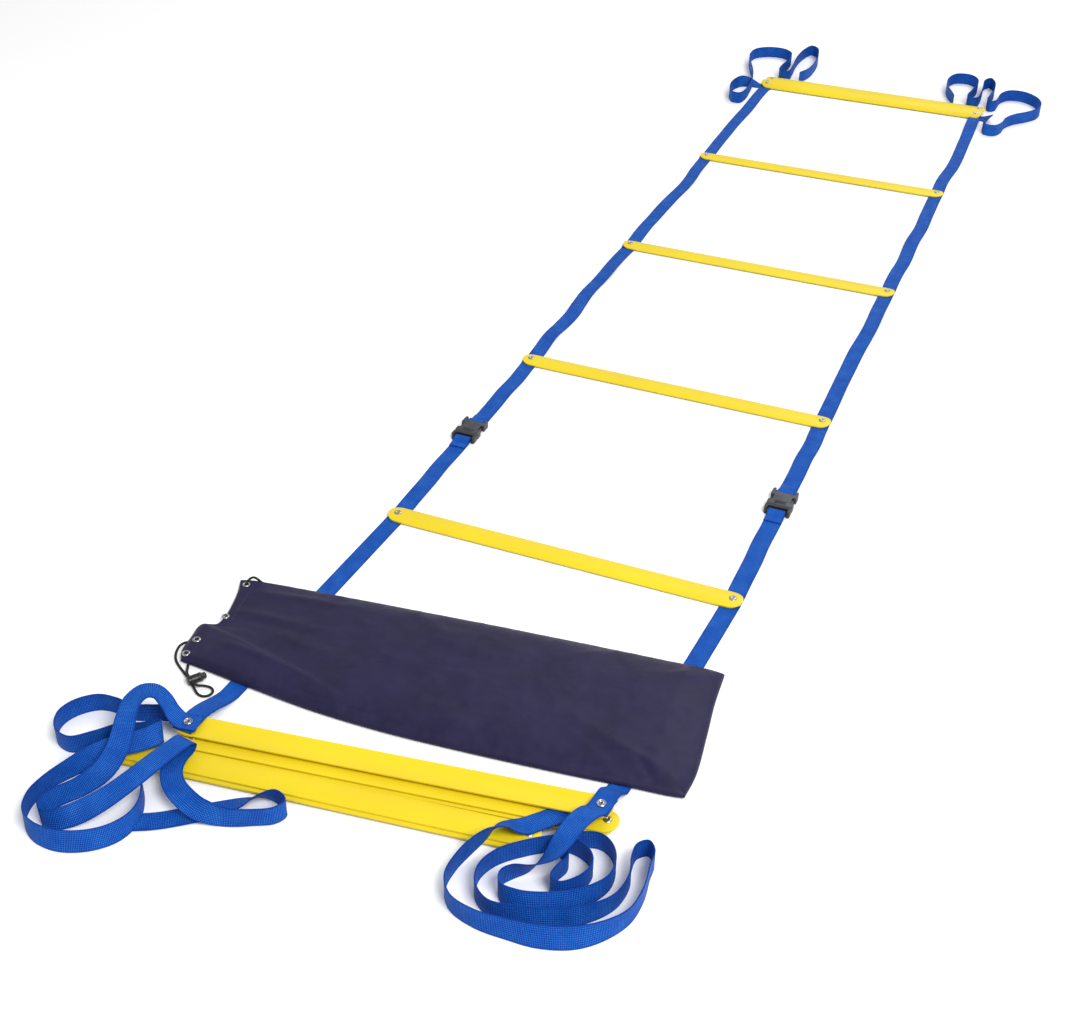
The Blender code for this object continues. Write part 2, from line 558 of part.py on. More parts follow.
def rivet_mesh(name, washer_base, head_base):
    """Return a tubular rivet between its washer and its dimpled head."""
    head_top = head_base + HEAD_THICKNESS
    washer_top = washer_base + WASHER_THICKNESS
    profile = (
        (0.0, head_top - DIMPLE_DEPTH), (DIMPLE_RADIUS, head_top - DIMPLE_DEPTH),
        ((DIMPLE_RADIUS + RIVET_HEAD) / 2, head_top), (RIVET_HEAD, head_base), (RIVET_SHANK, head_base),
        (RIVET_SHANK, washer_top), (RIVET_WASHER, washer_top), (RIVET_WASHER, washer_base),
        (0.0, washer_base),
    )
    return turned(name, profile, RIVET_SIDES)


def tongue_height(distance):
    """Return the height of a strap's middle at a distance from the rivet, over the floor."""
    fall = (TONGUE_FALL - abs(distance)) / (TONGUE_FALL - TONGUE_FLAT)
    return WEB_MID + TONGUE_LIFT * min(1.0, max(0.0, fall))


def punch(mesh, low, high):
    """Return a strap with a rivet hole at its own origin."""
    return combine(mesh, [rod("strap_hole", RIVET_HOLE, low, high, HOLE_SIDES)])


def flat_strap(name, start, end):
    """Return a strap along Y over one rivet at its origin, with its hole."""
    across = (1.0, 0.0, 0.0)
    runs = [start, -TONGUE_FALL, -TONGUE_FLAT, TONGUE_FLAT, TONGUE_FALL, end]
    stations = [((0.0, y, tongue_height(y)), across, WEB_HALF) for y in runs]
    return punch(ribbon(name, stations), -OVERRUN, TONGUE_LIFT + WEB_THICKNESS + OVERRUN)


def plain_strap(name, start, end):
    """Return a flat strap along Y on the floor."""
    across = (1.0, 0.0, 0.0)
    return ribbon(name, [((0.0, y, WEB_MID), across, WEB_HALF) for y in (start, end)])


def link_strap(name):
    """Return a strap from its rivet to a buckle bar, folded round the bar with a stitched tail."""
    across = (1.0, 0.0, 0.0)
    stations = []
    for share in TONGUE_ROUND_SHARES:
        y = share * TONGUE_RADIUS
        half = math.sqrt(TONGUE_RADIUS ** 2 - y ** 2)
        stations.append(((0.0, y, tongue_height(y)), across, half))
    for y in (0.0, TONGUE_FLAT, TONGUE_FALL):
        stations.append(((0.0, y, tongue_height(y)), across, WEB_HALF))
    wrap = CLEAR + WEB_MID
    half_bar = BAR_WIDTH / 2
    under = BAR_HEIGHT - BAR_THICKNESS / 2
    over = BAR_HEIGHT + BAR_THICKNESS / 2
    tail = WEB_THICKNESS + CLEAR + WEB_MID
    path = [(LINK_LENGTH - TAIL_LEAD, WEB_MID), (LINK_LENGTH - half_bar, under - wrap)]
    for centre, first in ((under, -90.0), (over, 0.0)):
        for turn in (0.0, 45.0, 90.0):
            angle = math.radians(first + turn)
            path.append((LINK_LENGTH + half_bar + wrap * math.cos(angle), centre + wrap * math.sin(angle)))
    path += [(LINK_LENGTH - half_bar, over + wrap), (LINK_LENGTH - TAIL_LEAD, tail)]
    path.append((LINK_LENGTH - TAIL_LENGTH - half_bar, tail))
    stations += [((0.0, y, z), across, WEB_HALF) for y, z in path]
    return punch(ribbon(name, stations), -OVERRUN, TONGUE_LIFT + WEB_THICKNESS + OVERRUN)


def sloped_strap(name, length, ramp, level, beyond):
    """Return a strap along +Y from the floor up to a level, past the rivet at its far end."""
    across = (1.0, 0.0, 0.0)
    shoulder = length - RUNG_WIDTH / 2 - OVERRUN
    path = (
        (0.0, WEB_MID), (length - ramp, WEB_MID), (shoulder - OVERRUN, level - CLEAR),
        (shoulder, level), (length + beyond, level),
    )
    stations = [((0.0, y, z), across, WEB_HALF) for y, z in path]
    hole = rod("strap_hole", RIVET_HOLE, level - OVERRUN, level + OVERRUN, HOLE_SIDES)
    hole.transform(Matrix.Translation((0.0, length, 0.0)))
    return combine(ribbon(name, stations), [hole])


def socket_mesh():
    """Return the buckle's socket, open at its mouth, with its side notches and webbing bar."""
    inner = SOCKET_LENGTH - BAR_WIDTH - SLOT_WIDTH
    body = slab(
        "socket", (-BUCKLE_HALF, BUCKLE_HALF), (0.0, SOCKET_LENGTH), (0.0, BUCKLE_HEIGHT), BUCKLE_CORNER,
    )
    slot = (-SLOT_HALF, SLOT_HALF)
    full = (-OVERRUN, BUCKLE_HEIGHT + OVERRUN)
    past = SOCKET_LENGTH + OVERRUN
    tools = [
        slab("cavity", (-CAVITY_HALF, CAVITY_HALF), (-OVERRUN, CAVITY_LENGTH), (CAVITY_FLOOR, CAVITY_ROOF)),
        slab("slot", slot, (inner, SOCKET_LENGTH - BAR_WIDTH), full),
        slab("over_bar", slot, (inner, past), (BAR_HEIGHT + BAR_THICKNESS / 2, full[1])),
        slab("under_bar", slot, (inner, past), (full[0], BAR_HEIGHT - BAR_THICKNESS / 2)),
    ]
    for side in (-1, 1):
        reach = sorted((side * NOTCH_INNER, side * (BUCKLE_HALF + OVERRUN)))
        tools.append(slab("notch", reach, (NOTCH_START, NOTCH_END), full))
    return combine(body, tools)


def plug_mesh():
    """Return the buckle's plug: base, rails, webbing bar and middle tongue."""
    back = -PLUG_BAR - BAR_WIDTH / 2
    body = slab(
        "plug", (-BUCKLE_HALF, BUCKLE_HALF), (back, -CLEAR), (0.0, BUCKLE_HEIGHT), BUCKLE_CORNER,
    )
    slot = (-SLOT_HALF, SLOT_HALF)
    full = (-OVERRUN, BUCKLE_HEIGHT + OVERRUN)
    past = back - OVERRUN
    cut = combine(body, [
        slab("slot", slot, (back + BAR_WIDTH, -PLUG_BACK), full),
        slab("over_bar", slot, (past, -PLUG_BACK), (BAR_HEIGHT + BAR_THICKNESS / 2, full[1])),
        slab("under_bar", slot, (past, -PLUG_BACK), (full[0], BAR_HEIGHT - BAR_THICKNESS / 2)),
    ])
    tongue = slab(
        "tongue", (-TONGUE_HALF, TONGUE_HALF), (-PLUG_BASE / 2, TONGUE_REACH), (TONGUE_FLOOR, TONGUE_ROOF),
    )
    return combine(cut, [tongue], "UNION")


def arm_mesh(name, side):
    """Return one latch arm about its pivot."""
    outline = [
        (side * (across * ARM_REACH - ARM_PIVOT_X), along * ARM_LENGTH - ARM_PIVOT_Y)
        for across, along in ARM_OUTLINE_SHARES
    ]
    return prism(name, outline, ARM_FLOOR, ARM_ROOF)


def bag_mesh():
    """Return the folded carry bag as a flat hem round a low crown."""
    levels = (
        (0.0, BAG_LIFT), (0.0, BAG_LIFT + BAG_HEM), (BAG_HEM_INSET, BAG_LIFT + BAG_HEM),
        (BAG_SLOPE_INSET, BAG_LIFT + BAG_CROWN * BAG_SHOULDER_SHARE), (BAG_TOP_INSET, BAG_LIFT + BAG_CROWN),
    )
    bm = bmesh.new()
    rings = []
    for inset, height in levels:
        length = BAG_LENGTH - 2 * inset
        width = BAG_WIDTH - 2 * inset
        rings.append([bm.verts.new((x * length, y * width, height)) for x, y in BAG_OUTLINE_SHARES])
    for lower, upper in zip(rings, rings[1:]):
        for index in range(len(lower)):
            following = (index + 1) % len(lower)
            bm.faces.new((lower[index], lower[following], upper[following], upper[index]))
    bm.faces.new(rings[0][::-1])
    bm.faces.new(rings[-1])
    return finish_mesh("bag", bm, FLAT_ANGLE)


def eyelet_mesh():
    """Return a flat metal eyelet."""
    disc = rod("eyelet", EYELET_RADIUS, 0.0, EYELET_THICKNESS, EYELET_SIDES)
    past = EYELET_THICKNESS + OVERRUN
    return combine(disc, [rod("eyelet_bore", EYELET_BORE, -OVERRUN, past, EYELET_BORE_SIDES)])


def build_rungs_and_rivets(frames, finishes):
    """Place the laid-out rungs A to D with their rivets, and return the rung's mesh."""
    rung = rung_mesh()
    rivet = rivet_mesh("rivet", 0.0, RUNG_LIFT + RUNG_HEIGHT + CLEAR)
    for letter, run in zip("abcd", range(4)):
        frame = frames[f"rung_{letter}"]
        node(f"rung_{letter}", rung, frame, finishes["rung"], (0.0, 0.0, RUNG_LIFT))
        for name, side in SIDES:
            node(f"rivet_{letter}_{name}", rivet, frame, finishes["steel"], (side * RIVET_SPAN / 2, 0.0, 0.0))
    return rung


def build_near_stack(ladder, rung, finishes):
    """Place the near stack, its top rung upside down."""
    stack = empty("NEAR_STACK", (NEAR_STACK_X, NEAR_STACK_Y, 0.0), ladder, NEAR_STACK_YAW)
    top = TOP_LEVEL + RUNG_HEIGHT
    node("rung_near_1", rung, stack, finishes["rung"], (0.0, 0.0, top), roll=180.0)
    node("rung_near_2", rung, stack, finishes["rung"], (SECOND_SHIFT, SECOND_RUN, STACK_LEVEL))
    node("rung_near_3", rung, stack, finishes["rung"], (THIRD_SHIFT, THIRD_RUN, STACK_FLOOR))
    node(
        "rung_near_4", rung, stack, finishes["rung"], (FRONT_SHIFT, FRONT_RUN, STACK_LEVEL), yaw=FRONT_YAW,
    )
    node(
        "rung_near_5", rung, stack, finishes["rung"], (LOWEST_SHIFT, LOWEST_RUN, STACK_FLOOR), yaw=FRONT_YAW,
    )
    layer = WEB_THICKNESS + CLEAR
    washer = -(CLEAR + 2 * layer + WASHER_THICKNESS)
    rivet = rivet_mesh("rivet_flipped", washer, RUNG_HEIGHT + CLEAR)
    for name, side in SIDES:
        place = (side * RIVET_SPAN / 2, 0.0, top)
        node(f"rivet_near_{name}", rivet, stack, finishes["steel"], place, roll=180.0)


def build_far_stack(ladder, rung, finishes):
    """Place the far stack with its top rung leaning on the others."""
    lean = math.radians(FAR_TILT)
    middle = RUNG_LIFT + RUNG_WIDTH / 2 * math.sin(lean)
    leaning = empty("FAR_TOP", (0.0, FAR_RUN, middle), ladder, tilt=FAR_TILT)
    node("rung_far_1", rung, leaning, finishes["rung"])
    upper = (FAR_UPPER_SHIFT, FAR_RUN + FAR_UPPER_RUN, FAR_LEVEL)
    lower = (FAR_LOWER_SHIFT, FAR_RUN + FAR_LOWER_RUN, RUNG_LIFT)
    node("rung_far_2", rung, ladder, finishes["rung"], upper)
    node("rung_far_3", rung, ladder, finishes["rung"], lower)
    layer = WEB_THICKNESS + CLEAR
    washer = -(layer + CLEAR + WASHER_THICKNESS)
    rivet = rivet_mesh("rivet_far", washer, RUNG_HEIGHT + CLEAR + layer)
    for name, side in SIDES:
        node(f"rivet_far_{name}", rivet, leaning, finishes["steel"], (side * RIVET_SPAN / 2, 0.0, 0.0))


def build_near_straps(ladder, finishes):
    """Run each strap from beside rung A's rivet over the near stack's top rung."""
    level = TOP_LEVEL + RUNG_HEIGHT + CLEAR + WEB_MID
    for (name, side), ramp in zip(SIDES, (NEAR_RAMP_LEFT, NEAR_RAMP_RIGHT)):
        start = Vector((side * RIVET_SPAN / 2, 0.0, 0.0))
        target = stack_rivet(side)
        way = Vector((target.x - start.x, target.y - start.y, 0.0))
        begin = start + way.normalized() * (TONGUE_RADIUS + CLEAR)
        length = way.length - TONGUE_RADIUS - CLEAR
        mesh = sloped_strap(f"strap_near_{name}", length, ramp, level, WEB_HALF)
        yaw = math.degrees(math.atan2(way.y, way.x)) - 90.0
        node(f"strap_near_{name}", mesh, ladder, finishes["webbing"], begin, yaw=yaw)


def stack_rivet(side):
    """Return the place of a rivet of the near stack's top rung on the ladder's floor."""
    yaw = math.radians(NEAR_STACK_YAW)
    reach = side * RIVET_SPAN / 2
    return Vector((NEAR_STACK_X + reach * math.cos(yaw), NEAR_STACK_Y + reach * math.sin(yaw), 0.0))


def build_far_straps(ladder, finishes):
    """Run each strap from the last fold line up under the far stack's leaning rung."""
    lean = math.radians(FAR_TILT)
    start = LAST_FOLD + CLEAR / 2
    rung_run = FAR_RUN - start
    middle = RUNG_LIFT + RUNG_WIDTH / 2 * math.sin(lean)
    below = CLEAR + WEB_MID
    across = (1.0, 0.0, 0.0)
    reach = (WEB_MID - middle + below * math.cos(lean)) / math.sin(lean)
    hole_centre = Vector((0.0, rung_run, middle))
    for name, side in SIDES:
        path = [(0.0, WEB_MID)]
        for along in (reach, 0.0, FAR_TAIL):
            run = rung_run + along * math.cos(lean) + below * math.sin(lean)
            path.append((run, middle + along * math.sin(lean) - below * math.cos(lean)))
        mesh = ribbon(f"strap_far_{name}", [((0.0, y, z), across, WEB_HALF) for y, z in path])
        hole = rod("strap_hole", RIVET_HOLE, -below - OVERRUN, OVERRUN, HOLE_SIDES)
        hole.transform(Matrix.Translation(hole_centre) @ Matrix.Rotation(lean, 4, "X"))
        mesh = combine(mesh, [hole])
        place = (side * RIVET_SPAN / 2, start, 0.0)
        node(f"strap_far_{name}", mesh, ladder, finishes["webbing"], place)


def build_bundles(ladder, finishes):
    """Lay out the gathered straps at the four corners."""
    lean = math.radians(FAR_TILT)
    middle = RUNG_LIFT + RUNG_WIDTH / 2 * math.sin(lean)
    far_left = Vector((-RIVET_SPAN / 2, FAR_RUN, middle))
    far_right = Vector((RIVET_SPAN / 2, FAR_RUN, middle))
    near_left = stack_rivet(-1)
    near_right = stack_rivet(1)
    over_stack = rod("bundle_hole", RIVET_HOLE, TOP_LEVEL + RUNG_HEIGHT, TOP_LEVEL + RUNG_WIDTH, HOLE_SIDES)
    over_leaning = rod("bundle_hole", RIVET_HOLE, 0.0, RUNG_HEIGHT + RUNG_WIDTH / 2, HOLE_SIDES)
    over_leaning.transform(Matrix.Rotation(lean, 4, "X"))
    plan = (
        ("bundle_near_left", NEAR_LEFT_ROUTE, NEAR_LEFT_ANCHOR, near_left, over_stack),
        ("bundle_near_left_outer", NEAR_LEFT_OUTER_ROUTE, NEAR_LEFT_ANCHOR, near_left, None),
        ("bundle_near_right", NEAR_RIGHT_ROUTE, NEAR_RIGHT_ANCHOR, near_right, over_stack),
        ("bundle_far_left", FAR_LEFT_ROUTE, FAR_LEFT_ANCHOR, far_left, over_leaning),
        ("bundle_far_right", FAR_RIGHT_ROUTE, FAR_RIGHT_ANCHOR, far_right, over_leaning),
    )
    for name, route, anchor, rivet, hole in plan:
        stations = bundle_stations(route, anchor, rivet)
        least_gap(name, stations)
        mesh = ribbon(name, stations)
        if hole:
            tool = hole.copy()
            tool.transform(Matrix.Translation(rivet))
            mesh = combine(mesh, [tool])
        node(name, mesh, ladder, finishes["webbing"])


def build_straps(frames, finishes):
    """Place the straps that ride with rungs B, C and D."""
    half = RUNG_PITCH / 2 - CLEAR / 2
    rung_b = plain_strap("strap_b", TONGUE_RADIUS + CLEAR, half)
    full = flat_strap("strap_full", -half, half)
    for letter, mesh in (("b", rung_b), ("c", full), ("d", full)):
        for name, side in SIDES:
            place = (side * RIVET_SPAN / 2, 0.0, 0.0)
            node(f"strap_{letter}_{name}", mesh, frames[f"rung_{letter}"], finishes["webbing"], place)


def build_links(ladder, finishes):
    """Place the link straps and the buckles between rungs A and B."""
    strap = link_strap("strap_link")
    plug = plug_mesh()
    socket = socket_mesh()
    arms = {name: arm_mesh(f"latch_{name}", side) for name, side in SIDES}
    mouth = RUNG_PITCH / 2 - MOUTH_OFFSET
    for name, side in SIDES:
        x = side * RIVET_SPAN / 2
        near = empty(f"LINK_{name.upper()}", (x, 0.0, 0.0), ladder)
        far = empty(f"LINK_FAR_{name.upper()}", (x, RUNG_PITCH, 0.0), ladder, 180.0)
        node(f"strap_link_near_{name}", strap, near, finishes["webbing"])
        node(f"strap_link_far_{name}", strap, far, finishes["webbing"])
        node(f"buckle_plug_{name}", plug, near, finishes["black"], (0.0, mouth, 0.0))
        node(f"buckle_socket_{name}", socket, ladder, finishes["slate"], (x, mouth, 0.0))
        for arm, arm_side in SIDES:
            pivot = (arm_side * ARM_PIVOT_X, mouth + ARM_PIVOT_Y, 0.0)
            node(f"latch_{name}_{arm}", arms[arm], near, finishes["black"], pivot)


def build_bag(ladder, finishes):
    """Place the carry bag with its eyelets, draw cord and cord lock."""
    bag = empty("BAG", (BAG_X, BAG_Y, 0.0), ladder, BAG_YAW)
    node("bag", bag_mesh(), bag, finishes["navy"])
    eyelet = eyelet_mesh()
    for index, (along, across) in enumerate(EYELET_SHARES):
        place = (along * BAG_LENGTH, across * BAG_WIDTH, BAG_LIFT + BAG_HEM + CLEAR)
        node(f"eyelet_{index + 1}", eyelet, bag, finishes["steel"], place)
    lock = empty("CORD_LOCK", (LOCK_X, LOCK_Y, LOCK_RADIUS + CLEAR), ladder, LOCK_YAW)
    barrel = rod("lock_barrel", LOCK_RADIUS, 0.0, LOCK_LENGTH, LOCK_SIDES)
    bore = rod("lock_bore", LOCK_BORE, LOCK_LENGTH - LOCK_BORE_DEPTH, LOCK_LENGTH + OVERRUN, HOLE_SIDES)
    barrel = combine(barrel, [bore])
    lay_down = Matrix.Rotation(math.radians(90.0), 4, "Y")
    barrel.transform(lay_down)
    node("lock_barrel", barrel, lock, finishes["black"])
    top = BUTTON_RADIUS * BUTTON_TOP_SHARE
    button = turned("lock_button", (
        (0.0, BUTTON_LENGTH), (top, BUTTON_LENGTH),
        (BUTTON_RADIUS, BUTTON_LENGTH - BUTTON_RADIUS + top), (BUTTON_RADIUS, 0.0), (0.0, 0.0),
    ), HOLE_SIDES)
    button.transform(lay_down)
    inside = LOCK_LENGTH + BUTTON_PROUD - BUTTON_LENGTH
    node("lock_button", button, lock, finishes["black"], (inside, 0.0, 0.0))
    build_cord(ladder, finishes)


def build_cord(ladder, finishes):
    """Lay the draw cord from its lock over the bag's hem and back."""
    rows = [
        (
            LOCK_X + (x - CORD_ANCHOR[0]) * ROUTE_UNIT, LOCK_Y + (y - CORD_ANCHOR[1]) * ROUTE_UNIT,
            height * ROUTE_UNIT,
        )
        for x, y, height in CORD_ROUTE
    ]
    points = smooth_curve(rows, CORD_STEPS)
    curve = bpy.data.curves.new("draw_cord", "CURVE")
    curve.dimensions = "3D"
    curve.bevel_depth = CORD_RADIUS
    curve.bevel_resolution = 2
    curve.use_fill_caps = True
    spline = curve.splines.new("POLY")
    spline.points.add(len(points) - 1)
    for point, place in zip(spline.points, points):
        point.co = (*place, 1.0)
    curve.materials.append(finishes["black"])
    cord = bpy.data.objects.new("draw_cord", curve)
    bpy.context.scene.collection.objects.link(cord)
    cord.parent = ladder


def main():
    """Build the ladder, its stacks and its bag."""
    for item in list(bpy.data.objects):
        bpy.data.objects.remove(item, do_unlink=True)
    finishes = {
        "rung": material("yellow_plastic", YELLOW, 0.32),
        "webbing": material("blue_webbing", BLUE, 0.75),
        "navy": material("navy_cloth", NAVY, 0.6),
        "slate": material("grey_plastic", SLATE, 0.45),
        "black": material("black_plastic", BLACK, 0.4),
        "steel": material("steel", STEEL, 0.25, 1.0),
    }
    ladder = empty("LADDER", (ORIGIN_X, -ORIGIN_Y, 0.0))
    frames = {
        f"rung_{letter}": empty(f"RUNG_{letter.upper()}", (0.0, run * RUNG_PITCH, 0.0), ladder)
        for run, letter in enumerate("abcd")
    }
    rung = build_rungs_and_rivets(frames, finishes)
    build_near_stack(ladder, rung, finishes)
    build_far_stack(ladder, rung, finishes)
    build_near_straps(ladder, finishes)
    build_far_straps(ladder, finishes)
    build_straps(frames, finishes)
    build_links(ladder, finishes)
    build_bundles(ladder, finishes)
    build_bag(ladder, finishes)


main()
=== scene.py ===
"""Looks of the agility ladder, with its carry bag and draw cord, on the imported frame."""
import json
import logging
import math
from dataclasses import dataclass
from enum import Enum

import bmesh
import bpy
import numpy as np
from bmesh.types import BMesh
from mathutils import Matrix, Vector, noise

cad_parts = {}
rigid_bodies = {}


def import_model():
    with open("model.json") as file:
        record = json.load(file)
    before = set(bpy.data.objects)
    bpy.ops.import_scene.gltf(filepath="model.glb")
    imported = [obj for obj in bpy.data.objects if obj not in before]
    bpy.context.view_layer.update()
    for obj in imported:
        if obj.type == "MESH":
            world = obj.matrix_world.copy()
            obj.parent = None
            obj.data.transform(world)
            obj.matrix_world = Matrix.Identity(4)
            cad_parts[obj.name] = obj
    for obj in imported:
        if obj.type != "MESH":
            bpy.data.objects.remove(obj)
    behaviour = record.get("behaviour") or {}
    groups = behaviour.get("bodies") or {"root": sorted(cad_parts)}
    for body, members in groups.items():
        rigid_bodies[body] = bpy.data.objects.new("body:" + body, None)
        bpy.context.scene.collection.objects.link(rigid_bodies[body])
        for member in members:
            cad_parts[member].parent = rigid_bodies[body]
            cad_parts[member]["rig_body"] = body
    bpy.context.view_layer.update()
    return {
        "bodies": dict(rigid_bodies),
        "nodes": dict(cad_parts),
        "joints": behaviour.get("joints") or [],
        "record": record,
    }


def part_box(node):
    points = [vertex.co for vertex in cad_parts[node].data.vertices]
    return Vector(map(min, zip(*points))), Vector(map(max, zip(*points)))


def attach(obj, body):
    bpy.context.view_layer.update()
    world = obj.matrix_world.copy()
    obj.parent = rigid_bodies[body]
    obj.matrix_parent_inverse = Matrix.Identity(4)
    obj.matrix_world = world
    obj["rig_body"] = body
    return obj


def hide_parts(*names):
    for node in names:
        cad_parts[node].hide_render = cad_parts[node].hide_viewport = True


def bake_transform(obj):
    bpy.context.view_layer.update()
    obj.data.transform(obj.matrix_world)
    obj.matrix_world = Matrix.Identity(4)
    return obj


LOG = logging.getLogger("agility_ladder")
MM = 0.001
CM = 0.01
MERGE = 1e-6


class Side(Enum):
    """The two sides of the ladder."""

    LEFT = -1
    RIGHT = 1

    @property
    def word(self) -> str:
        """Return the side's word in piece names."""
        return self.name.lower()


class Slot(Enum):
    """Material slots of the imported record."""

    RUNG = "rung_plastic"
    RIVET = "rivet_metal"
    WEBBING = "webbing"
    PLUG = "plug_plastic"
    SOCKET = "socket_plastic"
    BAG = "bag_cloth"
    EYELET = "eyelet_metal"
    CORD = "black_cord"
    LOCK = "lock_plastic"


class Wire:
    """A shader socket that can be used in arithmetic."""

    def __init__(self, sheet: "Sheet", socket: bpy.types.NodeSocket) -> None:
        """Keep the socket and the sheet that it is drawn on."""
        self.sheet = sheet
        self.socket = socket

    def _maths(self, operation: str, first: object, second: object = 0.0) -> "Wire":
        """Add one Math node.

        Args:
            operation: The Math node's operation.
            first: Its first value or wire.
            second: Its second value or wire.

        Returns:
            The node's result.
        """
        return self.sheet.add("ShaderNodeMath", {"operation": operation}, {0: first, 1: second})

    def __add__(self, other: object) -> "Wire":
        """Return the sum."""
        return self._maths("ADD", self, other)

    def __radd__(self, other: object) -> "Wire":
        """Return the sum."""
        return self._maths("ADD", other, self)

    def __sub__(self, other: object) -> "Wire":
        """Return the difference."""
        return self._maths("SUBTRACT", self, other)

    def __rsub__(self, other: object) -> "Wire":
        """Return the difference the other way round."""
        return self._maths("SUBTRACT", other, self)

    def __mul__(self, other: object) -> "Wire":
        """Return the product."""
        return self._maths("MULTIPLY", self, other)

    def __rmul__(self, other: object) -> "Wire":
        """Return the product."""
        return self._maths("MULTIPLY", other, self)

    def __gt__(self, other: object) -> "Wire":
        """Return 1 where this is the greater."""
        return self._maths("GREATER_THAN", self, other)

    def wave(self) -> "Wire":
        """Return the sine."""
        return self._maths("SINE", self)

    def size(self) -> "Wire":
        """Return the absolute value."""
        return self._maths("ABSOLUTE", self)

    def held(self) -> "Wire":
        """Return the value held between 0 and 1."""
        return self.sheet.add("ShaderNodeClamp", {}, {0: self})


class Sheet:
    """One material's node tree."""

    def __init__(self, name: str, fixed: dict[str, object]) -> None:
        """Make the material.

        Args:
            name: The material's name.
            fixed: Values of the shader's own sockets.
        """
        self.material = bpy.data.materials.new(name)
        self.material.use_nodes = True
        self.tree = self.material.node_tree
        self.shader = self.tree.nodes["Principled BSDF"]
        for socket, value in fixed.items():
            self.shader.inputs[socket].default_value = value

    def add(
        self, kind: str, settings: dict | None = None, inputs: dict | None = None, output: object = 0,
    ) -> Wire:
        """Add one node.

        Args:
            kind: The node's type.
            settings: Its own settings, set first.
            inputs: Values or wires of its sockets.
            output: The socket to return.

        Returns:
            The chosen output.
        """
        node = self.tree.nodes.new(kind)
        for key, value in (settings or {}).items():
            setattr(node, key, value)
        for key, value in (inputs or {}).items():
            self.join(value, node.inputs[key])
        return Wire(self, node.outputs[output])

    def join(self, value: object, socket: bpy.types.NodeSocket) -> None:
        """Link a wire to a socket, or set the socket's value.

        Args:
            value: The wire, or the socket's new value.
            socket: The socket to feed.
        """
        if isinstance(value, Wire):
            self.tree.links.new(value.socket, socket)
        else:
            socket.default_value = value

    def place(self) -> Wire:
        """Return the place on the object."""
        return self.add("ShaderNodeTexCoord", output="Object")

    def lay(self) -> tuple[Wire, Wire]:
        """Read where a point lies on a woven piece.

        Returns:
            The distance along it, and the distance across it.
        """
        held = self.add("ShaderNodeAttribute", {"attribute_name": "lay"}, output="Vector")
        parts = self.add("ShaderNodeSeparateXYZ", {}, {0: held})
        return parts, Wire(self, parts.socket.node.outputs[1])

    def clouds(self, place: Wire, scale: float, detail: float = 3.0) -> Wire:
        """Return soft noise between 0 and 1."""
        return self.add("ShaderNodeTexNoise", {}, {"Vector": place, "Scale": scale, "Detail": detail})

    def blend(self, share: Wire, first: object, second: object) -> Wire:
        """Return a colour between two, each a wire or its red, green and blue."""
        ends = [end if isinstance(end, Wire) else (*end, 1.0) for end in (first, second)]
        return self.add("ShaderNodeMix", {"data_type": "RGBA"}, {0: share, 6: ends[0], 7: ends[1]}, output=2)

    def dressed(
        self, colour: Wire, gloss: Wire, grain: Wire | None = None, depth: float = 0.0, strength: float = 1.0,
    ) -> bpy.types.Material:
        """Feed the shader and return the material.

        Args:
            colour: The base colour.
            gloss: The roughness.
            grain: The height of the surface's grain, from 0 to 1.
            depth: The depth of the grain in metres.
            strength: The share of the grain that shows.

        Returns:
            The finished material.
        """
        self.join(colour, self.shader.inputs["Base Color"])
        self.join(gloss, self.shader.inputs["Roughness"])
        if grain:
            bump = self.add("ShaderNodeBump", {}, {"Strength": strength, "Distance": depth, "Height": grain})
            self.join(bump, self.shader.inputs["Normal"])
        return self.material


@dataclass(frozen=True)
class WebbingFinish:
    """Ribbed polypropylene webbing."""

    # deep, body and lit are shaded, plain and lit copies of the blue: deep is painted shade, lit a painted
    # highlight
    deep: tuple = (0.001, 0.017, 0.160)
    body: tuple = (0.000, 0.068, 0.400)
    lit: tuple = (0.090, 0.400, 0.900)
    rib: float = 1.45 * MM
    column: float = 1.9 * MM
    depth: float = 0.36 * MM
    edge: float = 9.5 * MM
    wear_scale: float = 55.0
    fluff_scale: float = 900.0

    def make(self) -> bpy.types.Material:
        """Mix the woven ribs, painted with a highlight on their tops and shade in their grooves, with the
        worn patches and the fluff.

        Returns:
            The webbing material.
        """
        fixed = {"Sheen Weight": 0.01, "Sheen Roughness": 0.4, "Specular IOR Level": 0.12}
        sheet = Sheet("blue_webbing", fixed)
        along, across = sheet.lay()
        turn = math.tau / self.rib
        step = math.tau / self.column
        rib = (along * turn + (across * step).wave() * 0.9).wave() * 0.5 + 0.5
        dot = (along * (turn / 2) + across * (step / 2)).wave()
        dot = dot * (along * (turn / 2) - across * (step / 2)).wave()
        middle = 1.0 - (across.size() > self.edge)
        weave = (rib * 0.72 + dot * 0.28) * (middle * 0.75 + 0.25)
        place = sheet.place()
        worn = sheet.clouds(place, self.wear_scale)
        fluff = sheet.clouds(place, self.fluff_scale, 2.0)
        share = (weave * 0.70 + fluff * 0.24 + worn * 0.26 - 0.12).held()
        # The rib pattern paints shade into the grooves and a highlight onto the rib tops; the worn patches
        # and the fluff move the same blend
        dark = sheet.blend((share * 2.2).held(), self.deep, self.body)
        colour = sheet.blend((share * 3.0 - 1.72).held(), dark, self.lit)
        return sheet.dressed(colour, 0.50 + fluff * 0.25, weave * 0.85 + fluff * 0.15, self.depth, 0.85)


